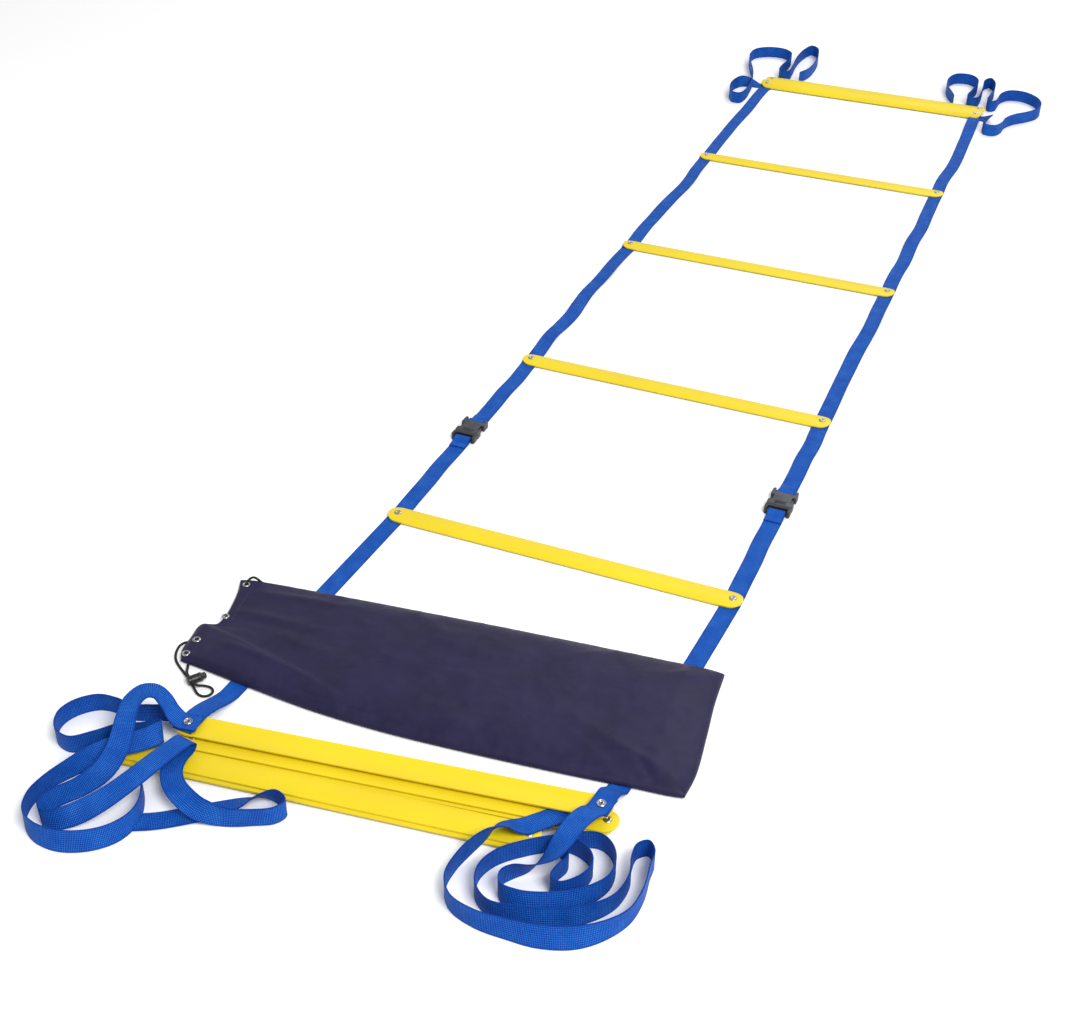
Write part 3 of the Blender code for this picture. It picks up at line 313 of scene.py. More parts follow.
@dataclass(frozen=True)
class RungFinish:
    """Moulded yellow rung plastic, lightly scuffed."""

    bright: tuple = (0.780, 0.610, 0.010)
    dull: tuple = (0.680, 0.510, 0.012)
    scuff: tuple = (0.860, 0.740, 0.120)
    streaks: tuple = (14.0, 260.0, 60.0)
    broad_scale: float = 7.0
    streak_scale: float = 6.0
    grain_scale: float = 1400.0

    def make(self) -> bpy.types.Material:
        """Mix the broad shades, the streaks and the scuffs.

        Returns:
            The rung material.
        """
        fixed = {"Specular IOR Level": 0.3, "Coat Weight": 0.03, "Coat Roughness": 0.25}
        sheet = Sheet("yellow_plastic", fixed)
        place = sheet.place()
        broad = sheet.clouds(place, self.broad_scale)
        stretched = sheet.add(
            "ShaderNodeMapping", {"vector_type": "POINT"}, {"Vector": place, "Scale": self.streaks},
        )
        streak = sheet.clouds(stretched, self.streak_scale, 4.0)
        grain = sheet.clouds(place, self.grain_scale, 2.0)
        base = sheet.blend((broad * 1.6 - 0.35).held(), self.dull, self.bright)
        marks = ((streak - 0.62) * 3.2).held()
        colour = sheet.blend(marks * 0.4, base, self.scuff)
        gloss = (0.34 + broad * 0.10 + marks * 0.25).held()
        return sheet.dressed(colour, gloss, grain * 0.6 + streak * 0.4, 0.05 * MM, 0.35)


@dataclass(frozen=True)
class PlasticFinish:
    """Dark acetal plastic with a fine moulded grain."""

    name: str
    body: tuple
    rubbed: tuple
    roughness: float = 0.38
    grain_scale: float = 1800.0
    patch_scale: float = 120.0

    def make(self) -> bpy.types.Material:
        """Mix the moulded grain and the rubbed patches.

        Returns:
            The plastic material.
        """
        sheet = Sheet(self.name, {"Specular IOR Level": 0.5})
        place = sheet.place()
        grain = sheet.clouds(place, self.grain_scale, 2.0)
        patch = sheet.clouds(place, self.patch_scale)
        colour = sheet.blend(((patch - 0.45) * 2.2).held(), self.body, self.rubbed)
        return sheet.dressed(colour, self.roughness + grain * 0.16, grain, 0.06 * MM, 0.4)


@dataclass(frozen=True)
class SteelFinish:
    """Nickel-plated steel, faintly brushed round by handling."""

    name: str
    bright: tuple = (0.430, 0.430, 0.430)
    tarnish: tuple = (0.200, 0.195, 0.185)
    cloud_scale: float = 420.0
    scratch_scale: float = 2600.0

    def make(self) -> bpy.types.Material:
        """Mix the tarnish and the fine scratches.

        Returns:
            The metal material.
        """
        sheet = Sheet(self.name, {"Metallic": 1.0})
        place = sheet.place()
        cloud = sheet.clouds(place, self.cloud_scale)
        scratch = sheet.clouds(place, self.scratch_scale, 4.0)
        colour = sheet.blend(((cloud - 0.5) * 3.0).held(), self.bright, self.tarnish)
        return sheet.dressed(colour, 0.16 + scratch * 0.2, scratch, 0.02 * MM, 0.3)


@dataclass(frozen=True)
class BagFinish:
    """Coated navy nylon with a fine plain weave."""

    deep: tuple = (0.007, 0.005, 0.026)
    body: tuple = (0.013, 0.010, 0.046)
    worn: tuple = (0.024, 0.020, 0.068)
    thread: float = 0.55 * MM
    cloud_scale: float = 16.0
    crumple_scale: float = 85.0
    slub_scale: float = 1500.0

    def make(self) -> bpy.types.Material:
        """Mix the weave, the crumples and the slubs.

        Returns:
            The bag cloth material.
        """
        fixed = {"Sheen Weight": 0.01, "Sheen Roughness": 0.5, "Specular IOR Level": 0.2}
        sheet = Sheet("navy_nylon", fixed)
        along, across = sheet.lay()
        turn = math.tau / self.thread
        weave = (along * turn).wave() * (across * turn).wave() * 0.5 + 0.5
        place = sheet.place()
        cloud = sheet.clouds(place, self.cloud_scale, 4.0)
        crumple = sheet.clouds(place, self.crumple_scale)
        slub = sheet.clouds(place, self.slub_scale, 2.0)
        base = sheet.blend((cloud * 2.2 - 0.6).held(), self.deep, self.body)
        colour = sheet.blend((weave * 0.22 + slub * 0.2 + (crumple - 0.5) * 0.7).held(), base, self.worn)
        gloss = 0.40 + crumple * 0.16 + weave * 0.06
        return sheet.dressed(colour, gloss, weave * 0.10 + crumple * 0.72 + slub * 0.18, 0.5 * MM, 0.55)


@dataclass(frozen=True)
class BraidFinish:
    """Black braided cord."""

    dark: tuple = (0.003, 0.003, 0.004)
    lit: tuple = (0.017, 0.017, 0.020)
    pitch: float = 2.6 * MM
    strands: float = 6.0

    def make(self) -> bpy.types.Material:
        """Mix the crossing strands of the braid, with painted highlight on their crowns and painted shade
        between them.

        Returns:
            The cord material.
        """
        sheet = Sheet("black_braid", {"Sheen Weight": 0.02, "Specular IOR Level": 0.2})
        along, across = sheet.lay()
        turn = math.tau / self.pitch
        over = (along * turn + across * self.strands).wave()
        braid = over * (along * turn - across * self.strands).wave() * 0.5 + 0.5
        # Painted light: lit is a painted highlight on the strands' crowns, dark is painted shade where they
        # dip
        colour = sheet.blend(braid.held(), self.dark, self.lit)
        return sheet.dressed(colour, 0.55 + braid * 0.15, braid, 0.3 * MM, 0.8)


@dataclass(frozen=True)
class ThreadFinish:
    """Twisted sewing thread."""

    name: str
    body: tuple
    twist_scale: float = 3200.0

    def make(self) -> bpy.types.Material:
        """Mix the twist of the thread.

        Returns:
            The thread material.
        """
        sheet = Sheet(self.name, {"Sheen Weight": 0.3})
        twist = sheet.clouds(sheet.place(), self.twist_scale, 2.0)
        pale = tuple(min(1.0, part * 1.8) for part in self.body)
        return sheet.dressed(sheet.blend(twist, self.body, pale), 0.5 + twist * 0.2, twist, 0.05 * MM, 0.5)


@dataclass(frozen=True)
class Fold:
    """Two bodies that a strap spans, and a stretch between them as two places along Y."""

    first: str
    second: str
    start: float
    end: float


class Workshop:
    """Dresses pieces with their finishes and hangs them on the frame."""

    def __init__(self, frame: dict) -> None:
        """Make each finish once.

        Args:
            frame: The frame that was loaded.
        """
        self.nodes = frame["nodes"]
        self.finishes = {
            Slot.RUNG: RungFinish().make(),
            Slot.RIVET: SteelFinish("rivet_steel").make(),
            Slot.WEBBING: WebbingFinish().make(),
            Slot.PLUG: PlasticFinish("black_acetal", (0.010, 0.010, 0.011), (0.022, 0.022, 0.024)).make(),
            Slot.SOCKET: PlasticFinish("grey_acetal", (0.030, 0.033, 0.042), (0.050, 0.054, 0.064)).make(),
            Slot.BAG: BagFinish().make(),
            Slot.EYELET: SteelFinish("eyelet_nickel").make(),
            Slot.CORD: BraidFinish().make(),
            Slot.LOCK: PlasticFinish("lock_acetal", (0.006, 0.006, 0.007), (0.014, 0.014, 0.015), 0.3).make(),
        }
        self.blue_thread = ThreadFinish("blue_thread", (0.010, 0.090, 0.420)).make()
        self.navy_thread = ThreadFinish("navy_thread", (0.016, 0.015, 0.045)).make()

    def body_of(self, node: str) -> str:
        """Return the body that a CAD node rides on."""
        return self.nodes[node]["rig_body"]

    def piece(
        self, name: str, bm: BMesh, slot: Slot, stands_for: tuple[str, ...] = (), body: str = "",
        fold: Fold | None = None, finish: bpy.types.Material | None = None, smooth: float = 40.0,
    ) -> bpy.types.Object:
        """Turn a bmesh into a finished piece.

        Args:
            name: The piece's name.
            bm: Its shape, in place.
            slot: The record's material slot.
            stands_for: CAD nodes that it replaces.
            body: The body that it rides on, or the first replaced node's body.
            fold: The two bodies that it spans instead, which leaves it baked in place on no body.
            finish: A material other than the slot's own.
            smooth: The angle in degrees up to which faces are shaded as one.

        Returns:
            The new object.
        """
        mesh = bpy.data.meshes.new(name)
        bm.to_mesh(mesh)
        bm.free()
        mesh.shade_smooth()
        mesh.set_sharp_from_angle(angle=math.radians(smooth))
        mesh.materials.append(finish or self.finishes[slot])
        made = shown(name, mesh)
        if fold:
            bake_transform(made)
        else:
            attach(made, body or self.body_of(stands_for[0]))
        if stands_for:
            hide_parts(*stands_for)
        LOG.info("%s: %d faces", name, len(mesh.polygons))
        return made


def shown(name: str, data: bpy.types.ID) -> bpy.types.Object:
    """Show a mesh, a light or a camera in the scene.

    Args:
        name: The object's name.
        data: What it shows.

    Returns:
        The new object.
    """
    made = bpy.data.objects.new(name, data)
    bpy.context.scene.collection.objects.link(made)
    return made


def limited(value: float) -> float:
    """Return a value held between 0 and 1."""
    return min(1.0, max(0.0, value))


def eased(share: float) -> float:
    """Return a share from 0 to 1 with a slow start and end."""
    return share * share * (3.0 - 2.0 * share)


def rotated(degrees: float, axis: str) -> Matrix:
    """Return a turn about one axis."""
    return Matrix.Rotation(math.radians(degrees), 4, axis)


def travelled(path: np.ndarray) -> np.ndarray:
    """Return the distance along a path at each of its points."""
    return np.concatenate(([0.0], np.cumsum(np.linalg.norm(np.diff(path, axis=0), axis=1))))


def rounded_off(bm: BMesh, edges: list[bmesh.types.BMEdge], offset: float, segments: int = 3) -> None:
    """Round some edges of a shape.

    Args:
        bm: The shape.
        edges: The edges to round.
        offset: How far the rounding reaches.
        segments: The number of faces across it.
    """
    bmesh.ops.bevel(
        bm, geom=edges, offset=offset, affect="EDGES", segments=segments, profile=0.5, material=-1,
        clamp_overlap=True,
    )


def turned(profile: list[tuple[float, float]], steps: int) -> BMesh:
    """Spin a profile of radius and height, in millimetres, about Z into a closed shape.

    Args:
        profile: The points, from axis to axis or from a point round to it again.
        steps: The number of sides.

    Returns:
        The new shape.
    """
    bm = bmesh.new()
    points = [bm.verts.new((radius * MM, 0.0, height * MM)) for radius, height in profile]
    edges = [bm.edges.new(pair) for pair in zip(points, points[1:])]
    bmesh.ops.spin(
        bm, geom=points + edges, cent=(0.0, 0.0, 0.0), axis=(0.0, 0.0, 1.0), angle=math.tau, steps=steps,
        use_merge=True,
    )
    bmesh.ops.remove_doubles(bm, verts=bm.verts, dist=MERGE)
    bmesh.ops.recalc_face_normals(bm, faces=bm.faces)
    return bm


def moved(bm: BMesh, place: Matrix) -> BMesh:
    """Move a whole shape and return it."""
    bmesh.ops.transform(bm, matrix=place, verts=bm.verts)
    return bm


def joined(shapes: list[BMesh]) -> BMesh:
    """Gather several shapes in one.

    Args:
        shapes: The shapes, which are freed.

    Returns:
        The new shape.
    """
    whole = bmesh.new()
    for shape in shapes:
        held = bpy.data.meshes.new("held")
        shape.to_mesh(held)
        shape.free()
        whole.from_mesh(held)
        bpy.data.meshes.remove(held)
    return whole


def smooth_rows(rows: np.ndarray, step: float) -> np.ndarray:
    """Run a smooth curve through rows of numbers whose first three are a place.

    Args:
        rows: The points, with any other numbers after their place.
        step: The distance wanted between points of the result, in metres.

    Returns:
        The finer rows.
    """
    chords = np.sqrt(np.linalg.norm(np.diff(rows[:, :3], axis=0), axis=1))
    knots = np.concatenate(([0.0], np.cumsum(chords)))
    padded = np.vstack((2 * rows[0] - rows[1], rows, 2 * rows[-1] - rows[-2]))
    times = np.concatenate(([2 * knots[0] - knots[1]], knots, [2 * knots[-1] - knots[-2]]))
    result = []
    for index in range(len(rows) - 1):
        t0, t1, t2, t3 = times[index:index + 4]
        p0, p1, p2, p3 = padded[index:index + 4]
        slope_in = (p1 - p0) / (t1 - t0) - (p2 - p0) / (t2 - t0) + (p2 - p1) / (t2 - t1)
        slope_out = (p2 - p1) / (t2 - t1) - (p3 - p1) / (t3 - t1) + (p3 - p2) / (t3 - t2)
        span = t2 - t1
        count = max(1, round(float(np.linalg.norm((p2 - p1)[:3])) / step))
        for part in range(count):
            u = part / count
            result.append(
                (2 * u ** 3 - 3 * u ** 2 + 1) * p1 + (u ** 3 - 2 * u ** 2 + u) * span * slope_in
                + (3 * u ** 2 - 2 * u ** 3) * p2 + (u ** 3 - u ** 2) * span * slope_out
            )
    result.append(rows[-1])
    return np.array(result)


def swept(
    places: np.ndarray, widths: np.ndarray, section: list[tuple[float, float]],
    scales: np.ndarray | None = None,
) -> BMesh:
    """Sweep a closed section along a line, with its distances kept for the weave.

    Args:
        places: The line's points.
        widths: The direction across at each point.
        section: The section's points, across and up, closed on its first point.
        scales: The section's share of its full width at each point.

    Returns:
        The closed shape, with its distances along, across and up in the layer named lay.
    """
    distances = travelled(places)
    heads = np.gradient(places, axis=0)
    heads /= np.linalg.norm(heads, axis=1)[:, None]
    across = widths - np.sum(widths * heads, axis=1)[:, None] * heads
    across /= np.linalg.norm(across, axis=1)[:, None]
    up = np.cross(across, heads)
    rows = len(places) - 1
    ring = len(section)
    bm = bmesh.new()
    bmesh.ops.create_grid(bm, x_segments=rows, y_segments=ring, size=0.5)
    lay = bm.verts.layers.float_vector.new("lay")
    for vert in bm.verts:
        index = round((vert.co.x + 0.5) * rows)
        side, rise = section[round((vert.co.y + 0.5) * ring) % ring]
        scale = 1.0 if scales is None else scales[index]
        vert.co = Vector(places[index] + across[index] * side * scale + up[index] * rise)
        vert[lay] = (distances[index], side * scale, rise)
    bmesh.ops.remove_doubles(bm, verts=bm.verts, dist=MERGE)
    rims = [edge for edge in bm.edges if edge.is_boundary]
    bmesh.ops.holes_fill(bm, edges=rims, sides=0)
    bmesh.ops.recalc_face_normals(bm, faces=bm.faces)
    return bm


def capsules(places: list[tuple[Vector, Vector]], radius: float) -> BMesh:
    """Lay one small stitch along each pair of ends.

    Args:
        places: The two ends of each stitch.
        radius: The thread's radius.

    Returns:
        All the stitches.
    """
    whole = bmesh.new()
    for start, end in places:
        run = end - start
        turn = run.to_track_quat("X", "Z").to_matrix().to_4x4()
        size = Matrix.Diagonal((run.length / 2 + radius, radius, radius, 1.0))
        bmesh.ops.create_icosphere(
            whole, subdivisions=1, radius=1.0, matrix=Matrix.Translation((start + end) / 2) @ turn @ size,
        )
    return whole


@dataclass(frozen=True)
class Ladder:
    """Driving sizes of the ladder, and where its first rung lies."""

    origin_x: float
    origin_y: float
    pitch: float
    span: float = 0.400
    near_x: float = -0.0178
    near_y: float = -0.3772
    near_yaw: float = 7.9
    top_level: float = 11.9 * MM
    far_tilt: float = 20.0
    clear: float = 0.3 * MM

    @staticmethod
    def from_frame() -> "Ladder":
        """Read the first rung's place and the pitch from the frame.

        Returns:
            The ladder's main places.
        """
        low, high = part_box("rung_a")
        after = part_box("rung_b")[0]
        return Ladder((low.x + high.x) / 2, (low.y + high.y) / 2, after.y - low.y)

    def matrix(self) -> Matrix:
        """Return the ladder's own place."""
        return Matrix.Translation((self.origin_x, self.origin_y, 0.0))

    def spot(self, x: float, y: float, z: float = 0.0) -> Vector:
        """Return a place on the ladder in the frame."""
        return Vector((self.origin_x + x, self.origin_y + y, z))

    def rivet(self, side: Side, run: int = 0) -> Vector:
        """Return the place on the floor of a rivet, so many rungs beyond the first."""
        return self.spot(side.value * self.span / 2, run * self.pitch)

    def stack_rivet(self, side: Side) -> Vector:
        """Find a rivet of the near stack's top rung.

        Args:
            side: The side of the ladder.

        Returns:
            Its place on the floor.
        """
        yaw = math.radians(self.near_yaw)
        reach = side.value * self.span / 2
        return self.spot(self.near_x + reach * math.cos(yaw), self.near_y + reach * math.sin(yaw))


@dataclass(frozen=True)
class Webbing:
    """Sizes of the webbing, whose edges are a little thicker than its middle."""

    width: float = 21.0 * MM
    thickness: float = 1.4 * MM
    bead: float = 1.1 * MM
    thin_share: float = 0.86
    corner: float = 0.12 * MM
    corner_share: float = 0.7

    def section(self) -> list[tuple[float, float]]:
        """Draw the webbing's closed section.

        Returns:
            Its points across and up, from one edge round to it again.
        """
        half, thick = self.width / 2, self.thickness / 2
        thin, low = thick * self.thin_share, thick * self.corner_share
        rise = [
            (half, 0.0), (half - self.corner, low), (half - self.bead / 2, thick), (half - self.bead, thin),
            (half / 2, thin),
        ]
        upper = [(-side, height) for side, height in rise] + [(0.0, thin)] + rise[::-1]
        lower = [(side, -height) for side, height in upper[1:-1]]
        return upper + lower[::-1]

    def sweep(self, rows: np.ndarray, scales: np.ndarray | None = None) -> BMesh:
        """Run the webbing along rows of a place and a width direction."""
        return swept(rows[:, :3], rows[:, 3:], self.section(), scales)


# Height in centimetres, azimuth and lift of webbing that stands on its edge on the floor
STANDING = (1.1, 90, 90)


@dataclass(frozen=True)
class Route:
    """The way of one gathered strap, in centimetres, with its rivet's place as the anchor.

    A point is x, y and height, then azimuth and lift in degrees of the width direction. A point of x and y
    alone is webbing that stands on its edge on the floor.
    """

    word: str
    side: Side
    anchor: tuple[float, float]
    points: tuple

    def rows(self, rivet: Vector) -> np.ndarray:
        """Work out the strap's way in the frame.

        Args:
            rivet: The place that its anchor moves to.

        Returns:
            The rows of place and width direction, in metres.
        """
        rows = []
        for x, y, *rest in self.points:
            height, azimuth, lift = rest or STANDING
            turn, rise = math.radians(azimuth), math.radians(lift)
            rows.append((
                rivet.x + (x - self.anchor[0]) * CM, rivet.y + (y - self.anchor[1]) * CM, height * CM,
                math.cos(rise) * math.cos(turn), math.cos(rise) * math.sin(turn), math.sin(rise),
            ))
        return np.array(rows)


ROUTES = (
    Route("near_left", Side.LEFT, (-21.6, -159.6), (
        (-20.5, -159.4, 1.88, 98, 0), (-21.6, -159.6, 1.88, 98, 0), (-22.3, -159.7, 1.92, 98, 0),
        (-23.2, -159.5, 2.4, 98, 0), (-24.1, -159.2, 3.4, 104, 0), (-25.1, -159.1, 4.1, 119, 0),
        (-26.0, -159.8, 4.4, 137, 0), (-26.4, -161.1, 4.2, 155, 0), (-26.1, -162.6, 3.8, 168, 0),
        (-25.5, -164.1, 3.4, 178, 8), (-25.0, -165.8, 2.8, 170, 25), (-25.2, -167.8, 1.8, 160, 50),
        (-26.2, -169.8, 1.2, 150, 70), (-27.4, -171.8, 1.15, 150, 78), (-28.0, -173.4, 1.1, 150, 80),
        (-27.3, -174.4, 1.1, 150, 80), (-26.0, -174.2, 1.1, 150, 70), (-24.5, -172.9, 1.3, 145, 45),
        (-22.9, -170.9, 1.9, 145, 22), (-21.6, -168.5, 2.6, 155, 12), (-20.7, -166.0, 3.0, 165, 5),
        (-20.2, -163.7, 2.95, 170, 0), (-20.0, -162.5, 2.75, 170, 0), (-19.95, -162.0, 2.25, 170, 0),
        (-20.0, -162.5, 1.75, 170, 0), (-20.1, -163.7, 1.65, 170, 0), (-19.6, -165.4, 1.75, 190, 0),
        (-18.4, -166.9, 1.8, 215, -8), (-16.8, -167.9, 1.8, 235, -20), (-14.8, -168.4, 1.45, 255, -45),
        (-12.4, -168.1, 1.15, 265, -80), (-10.2, -167.2, 1.12, 270, -90), (-8.4, -166.1, 1.12, 90, -90),
        (-8.0, -164.9, 1.12, 90, -90), (-9.3, -164.2, 1.2, 90, -85), (-10.8, -164.5, 1.0, 92, -50),
        (-12.2, -165.4, 0.56, 96, -18), (-14.0, -166.8, 0.22, 105, -2), (-16.0, -168.4, 0.16, 115, 0),
        (-18.0, -169.9, 0.14, 118, 0), (-19.0, -170.5, 0.14, 112, 0), (-20.0, -171.0, 0.14, 105, 0),
    )),
    Route("near_left_outer", Side.LEFT, (-21.6, -159.6), (
        (-23.2, -158.7), (-24.6, -158.6), (-26.2, -159.2), (-27.8, -159.8), (-29.6, -159.6), (-31.6, -159.9),
        (-33.2, -161.5), (-33.6, -163.4), (-32.5, -165.3), (-30.6, -165.8), (-28.9, -164.3), (-27.2, -162.4),
        (-25.4, -161.6, 1.15, 90, 90), (-24.0, -161.1, 1.5, 100, 85), (-23.2, -161.5, 1.85, 120, 65),
        (-23.3, -162.4, 2.08, 140, 38), (-24.2, -163.6, 2.05, 150, 34), (-25.7, -165.0, 2.02, 150, 36),
        (-27.2, -166.6, 1.65, 150, 54), (-28.6, -168.6, 1.25, 150, 80), (-29.5, -170.8), (-29.6, -173.0),
        (-28.7, -175.0, 1.1, 90, 88), (-26.8, -176.1, 1.1, 100, 78), (-24.2, -176.1, 1.05, 105, 68),
        (-21.8, -175.0, 1.05, 110, 68), (-20.3, -173.4, 1.05, 150, 75), (-19.7, -171.6, 1.1, 170, 85),
        (-20.0, -169.8, 1.1, 170, 90), (-20.9, -168.2, 1.1, 170, 90), (-22.0, -166.9, 1.1, 170, 90),
    )),
    Route("near_right", Side.RIGHT, (18.0, -154.1), (
        (18.2, -153.0, 1.88, -10, 0), (18.0, -154.1, 1.88, -10, 0), (17.85, -154.9, 1.9, -10, 0),
        (17.5, -156.1, 2.5, -14, 0), (17.0, -157.9, 2.75, -12, 0), (16.7, -159.9, 2.6, -10, 8),
        (16.2, -161.7, 2.1, -20, 30), (15.0, -163.1, 1.6, -40, 60), (13.6, -163.9, 1.25, -60, 85),
        (12.9, -164.9, 1.15, 90, 90), (13.4, -166.2, 1.15, 90, 88), (15.0, -166.7, 1.2, 90, 65),
        (17.0, -166.2, 1.2, 90, 62), (19.0, -165.1, 1.2, 90, 65), (20.7, -163.5, 1.2, 90, 75),
        (21.6, -161.6, 1.15, 90, 88), (21.4, -159.6), (20.5, -158.2), (19.2, -157.6), (17.4, -158.2),
        (15.4, -159.5), (13.4, -161.0), (11.6, -162.9), (10.9, -165.0), (11.5, -167.0), (13.2, -168.2),
        (15.6, -168.0, 1.1, 90, 80), (18.4, -167.2, 1.1, 90, 75), (20.9, -165.7, 1.1, 90, 80), (22.7, -163.5),
        (23.1, -160.9), (22.6, -158.9), (22.6, -157.4), (23.4, -156.7), (24.2, -157.5), (24.4, -159.3),
        (24.7, -161.8), (24.4, -164.4, 1.1, 90, 88), (23.1, -166.5, 1.1, 90, 75), (21.0, -168.2, 1.0, 90, 62),
        (18.4, -169.2, 1.0, 90, 62), (15.6, -169.6, 1.05, 90, 75), (12.6, -169.7, 1.1, 90, 85),
        (10.0, -168.9), (8.7, -167.1), (8.6, -164.9), (9.2, -162.8, 1.4, -30, 88),
        (10.1, -161.3, 1.95, -35, 72), (10.9, -160.2, 2.05, -40, 38), (11.8, -159.3, 1.5, -45, 10),
        (12.6, -158.6, 1.19, -48, 0), (13.2, -157.9, 1.16, -48, 0), (13.9, -157.1, 1.14, -48, 0),
        (14.6, -156.3, 1.14, -48, 0), (15.4, -155.4, 1.14, -48, 0),
    )),
    Route("near_right_inner", Side.RIGHT, (18.0, -154.1), (
        (16.7, -159.0), (17.7, -159.1), (18.9, -159.6), (19.7, -160.7), (19.6, -162.1, 1.1, 90, 88),
        (18.9, -163.4, 1.1, 90, 82), (17.9, -164.2, 1.1, 90, 82), (17.0, -163.7, 1.1, 90, 88), (17.1, -162.4),
        (17.5, -161.2), (17.2, -160.2), (16.4, -159.9),
    )),
    Route("far_left", Side.LEFT, (-20.0, 39.7), (
        (-20.9, 39.3, 0.1, 90, 0), (-21.6, 39.3, 0.12, 90, 2), (-22.6, 39.2, 0.4, 95, 20),
        (-23.7, 38.8, 0.8, 110, 45), (-24.7, 37.8, 1.08, 130, 72), (-25.4, 36.0, 1.1, 145, 86), (-25.6, 33.6),
        (-25.0, 30.6), (-23.8, 28.6), (-22.5, 28.6), (-22.0, 30.8), (-22.2, 34.2), (-22.7, 38.0),
        (-23.8, 42.2), (-25.6, 47.0), (-27.0, 51.6), (-26.6, 55.2), (-24.4, 57.1), (-21.6, 57.3),
        (-19.6, 55.6), (-19.0, 51.6), (-19.3, 47.4), (-19.1, 44.8), (-18.1, 43.9), (-17.2, 44.8),
        (-17.3, 48.0), (-17.8, 53.0), (-17.7, 58.4), (-16.8, 61.6), (-15.5, 60.8), (-14.3, 56.8),
        (-13.8, 52.0), (-14.0, 47.6), (-15.0, 44.6),
    )),
    Route("far_right", Side.RIGHT, (20.0, 39.7), (
        (20.9, 39.3, 0.1, 90, 0), (21.5, 39.25, 0.2, 85, 4), (22.3, 38.8, 0.56, 60, 22),
        (22.7, 37.6, 0.92, 30, 46), (22.6, 36.2, 1.1, 10, 68), (22.4, 34.8, 1.12, 0, 84), (22.3, 32.9),
        (23.0, 31.3), (24.6, 31.4), (25.5, 33.4), (25.8, 36.0), (27.0, 38.6), (28.9, 40.8), (30.5, 43.4),
        (30.8, 46.4), (29.6, 49.6), (27.0, 51.7), (24.4, 51.4), (23.1, 49.0), (22.9, 46.4), (22.7, 44.6),
        (21.9, 43.8), (21.2, 44.8), (21.3, 47.6), (21.5, 51.4), (20.9, 55.4), (19.9, 57.0), (19.1, 55.6),
        (19.3, 51.4), (19.5, 47.6), (19.2, 44.9), (18.2, 44.0), (17.4, 45.2), (17.7, 49.0), (18.1, 52.6),
        (17.5, 55.8), (15.8, 57.4), (13.5, 56.9), (12.4, 53.8), (12.9, 49.4), (14.3, 46.0), (15.0, 44.2),
    )),
)
# The draw cord's way in centimetres, with the lock's place as its anchor
CORD_ANCHOR = (-25.9, -153.4)
CORD_ROUTE = (
    (-28.7, -148.05, 0.46), (-29.1, -148.12, 0.44), (-29.53, -148.35, 0.4), (-29.78, -148.85, 0.33),
    (-29.73, -149.5, 0.23), (-29.45, -150.2, 0.17), (-28.95, -150.85, 0.15), (-28.2, -151.45, 0.15),
    (-27.35, -152.0, 0.17), (-26.7, -152.46, 0.25), (-26.2, -152.82, 0.35), (-25.73, -153.15, 0.36),
    (-25.25, -153.5, 0.32), (-24.7, -153.94, 0.2), (-24.15, -154.28, 0.15), (-23.53, -154.33, 0.15),
    (-23.07, -153.95, 0.15), (-23.05, -153.34, 0.15), (-23.51, -152.98, 0.18), (-24.13, -153.1, 0.3),
    (-24.73, -153.52, 0.52), (-25.27, -153.42, 0.61), (-25.73, -153.11, 0.64), (-26.25, -152.72, 0.6),
    (-26.73, -152.24, 0.46), (-27.07, -151.7, 0.32), (-27.33, -151.2, 0.24), (-27.57, -150.7, 0.26),
    (-27.9, -150.15, 0.36), (-28.25, -149.55, 0.44),
)


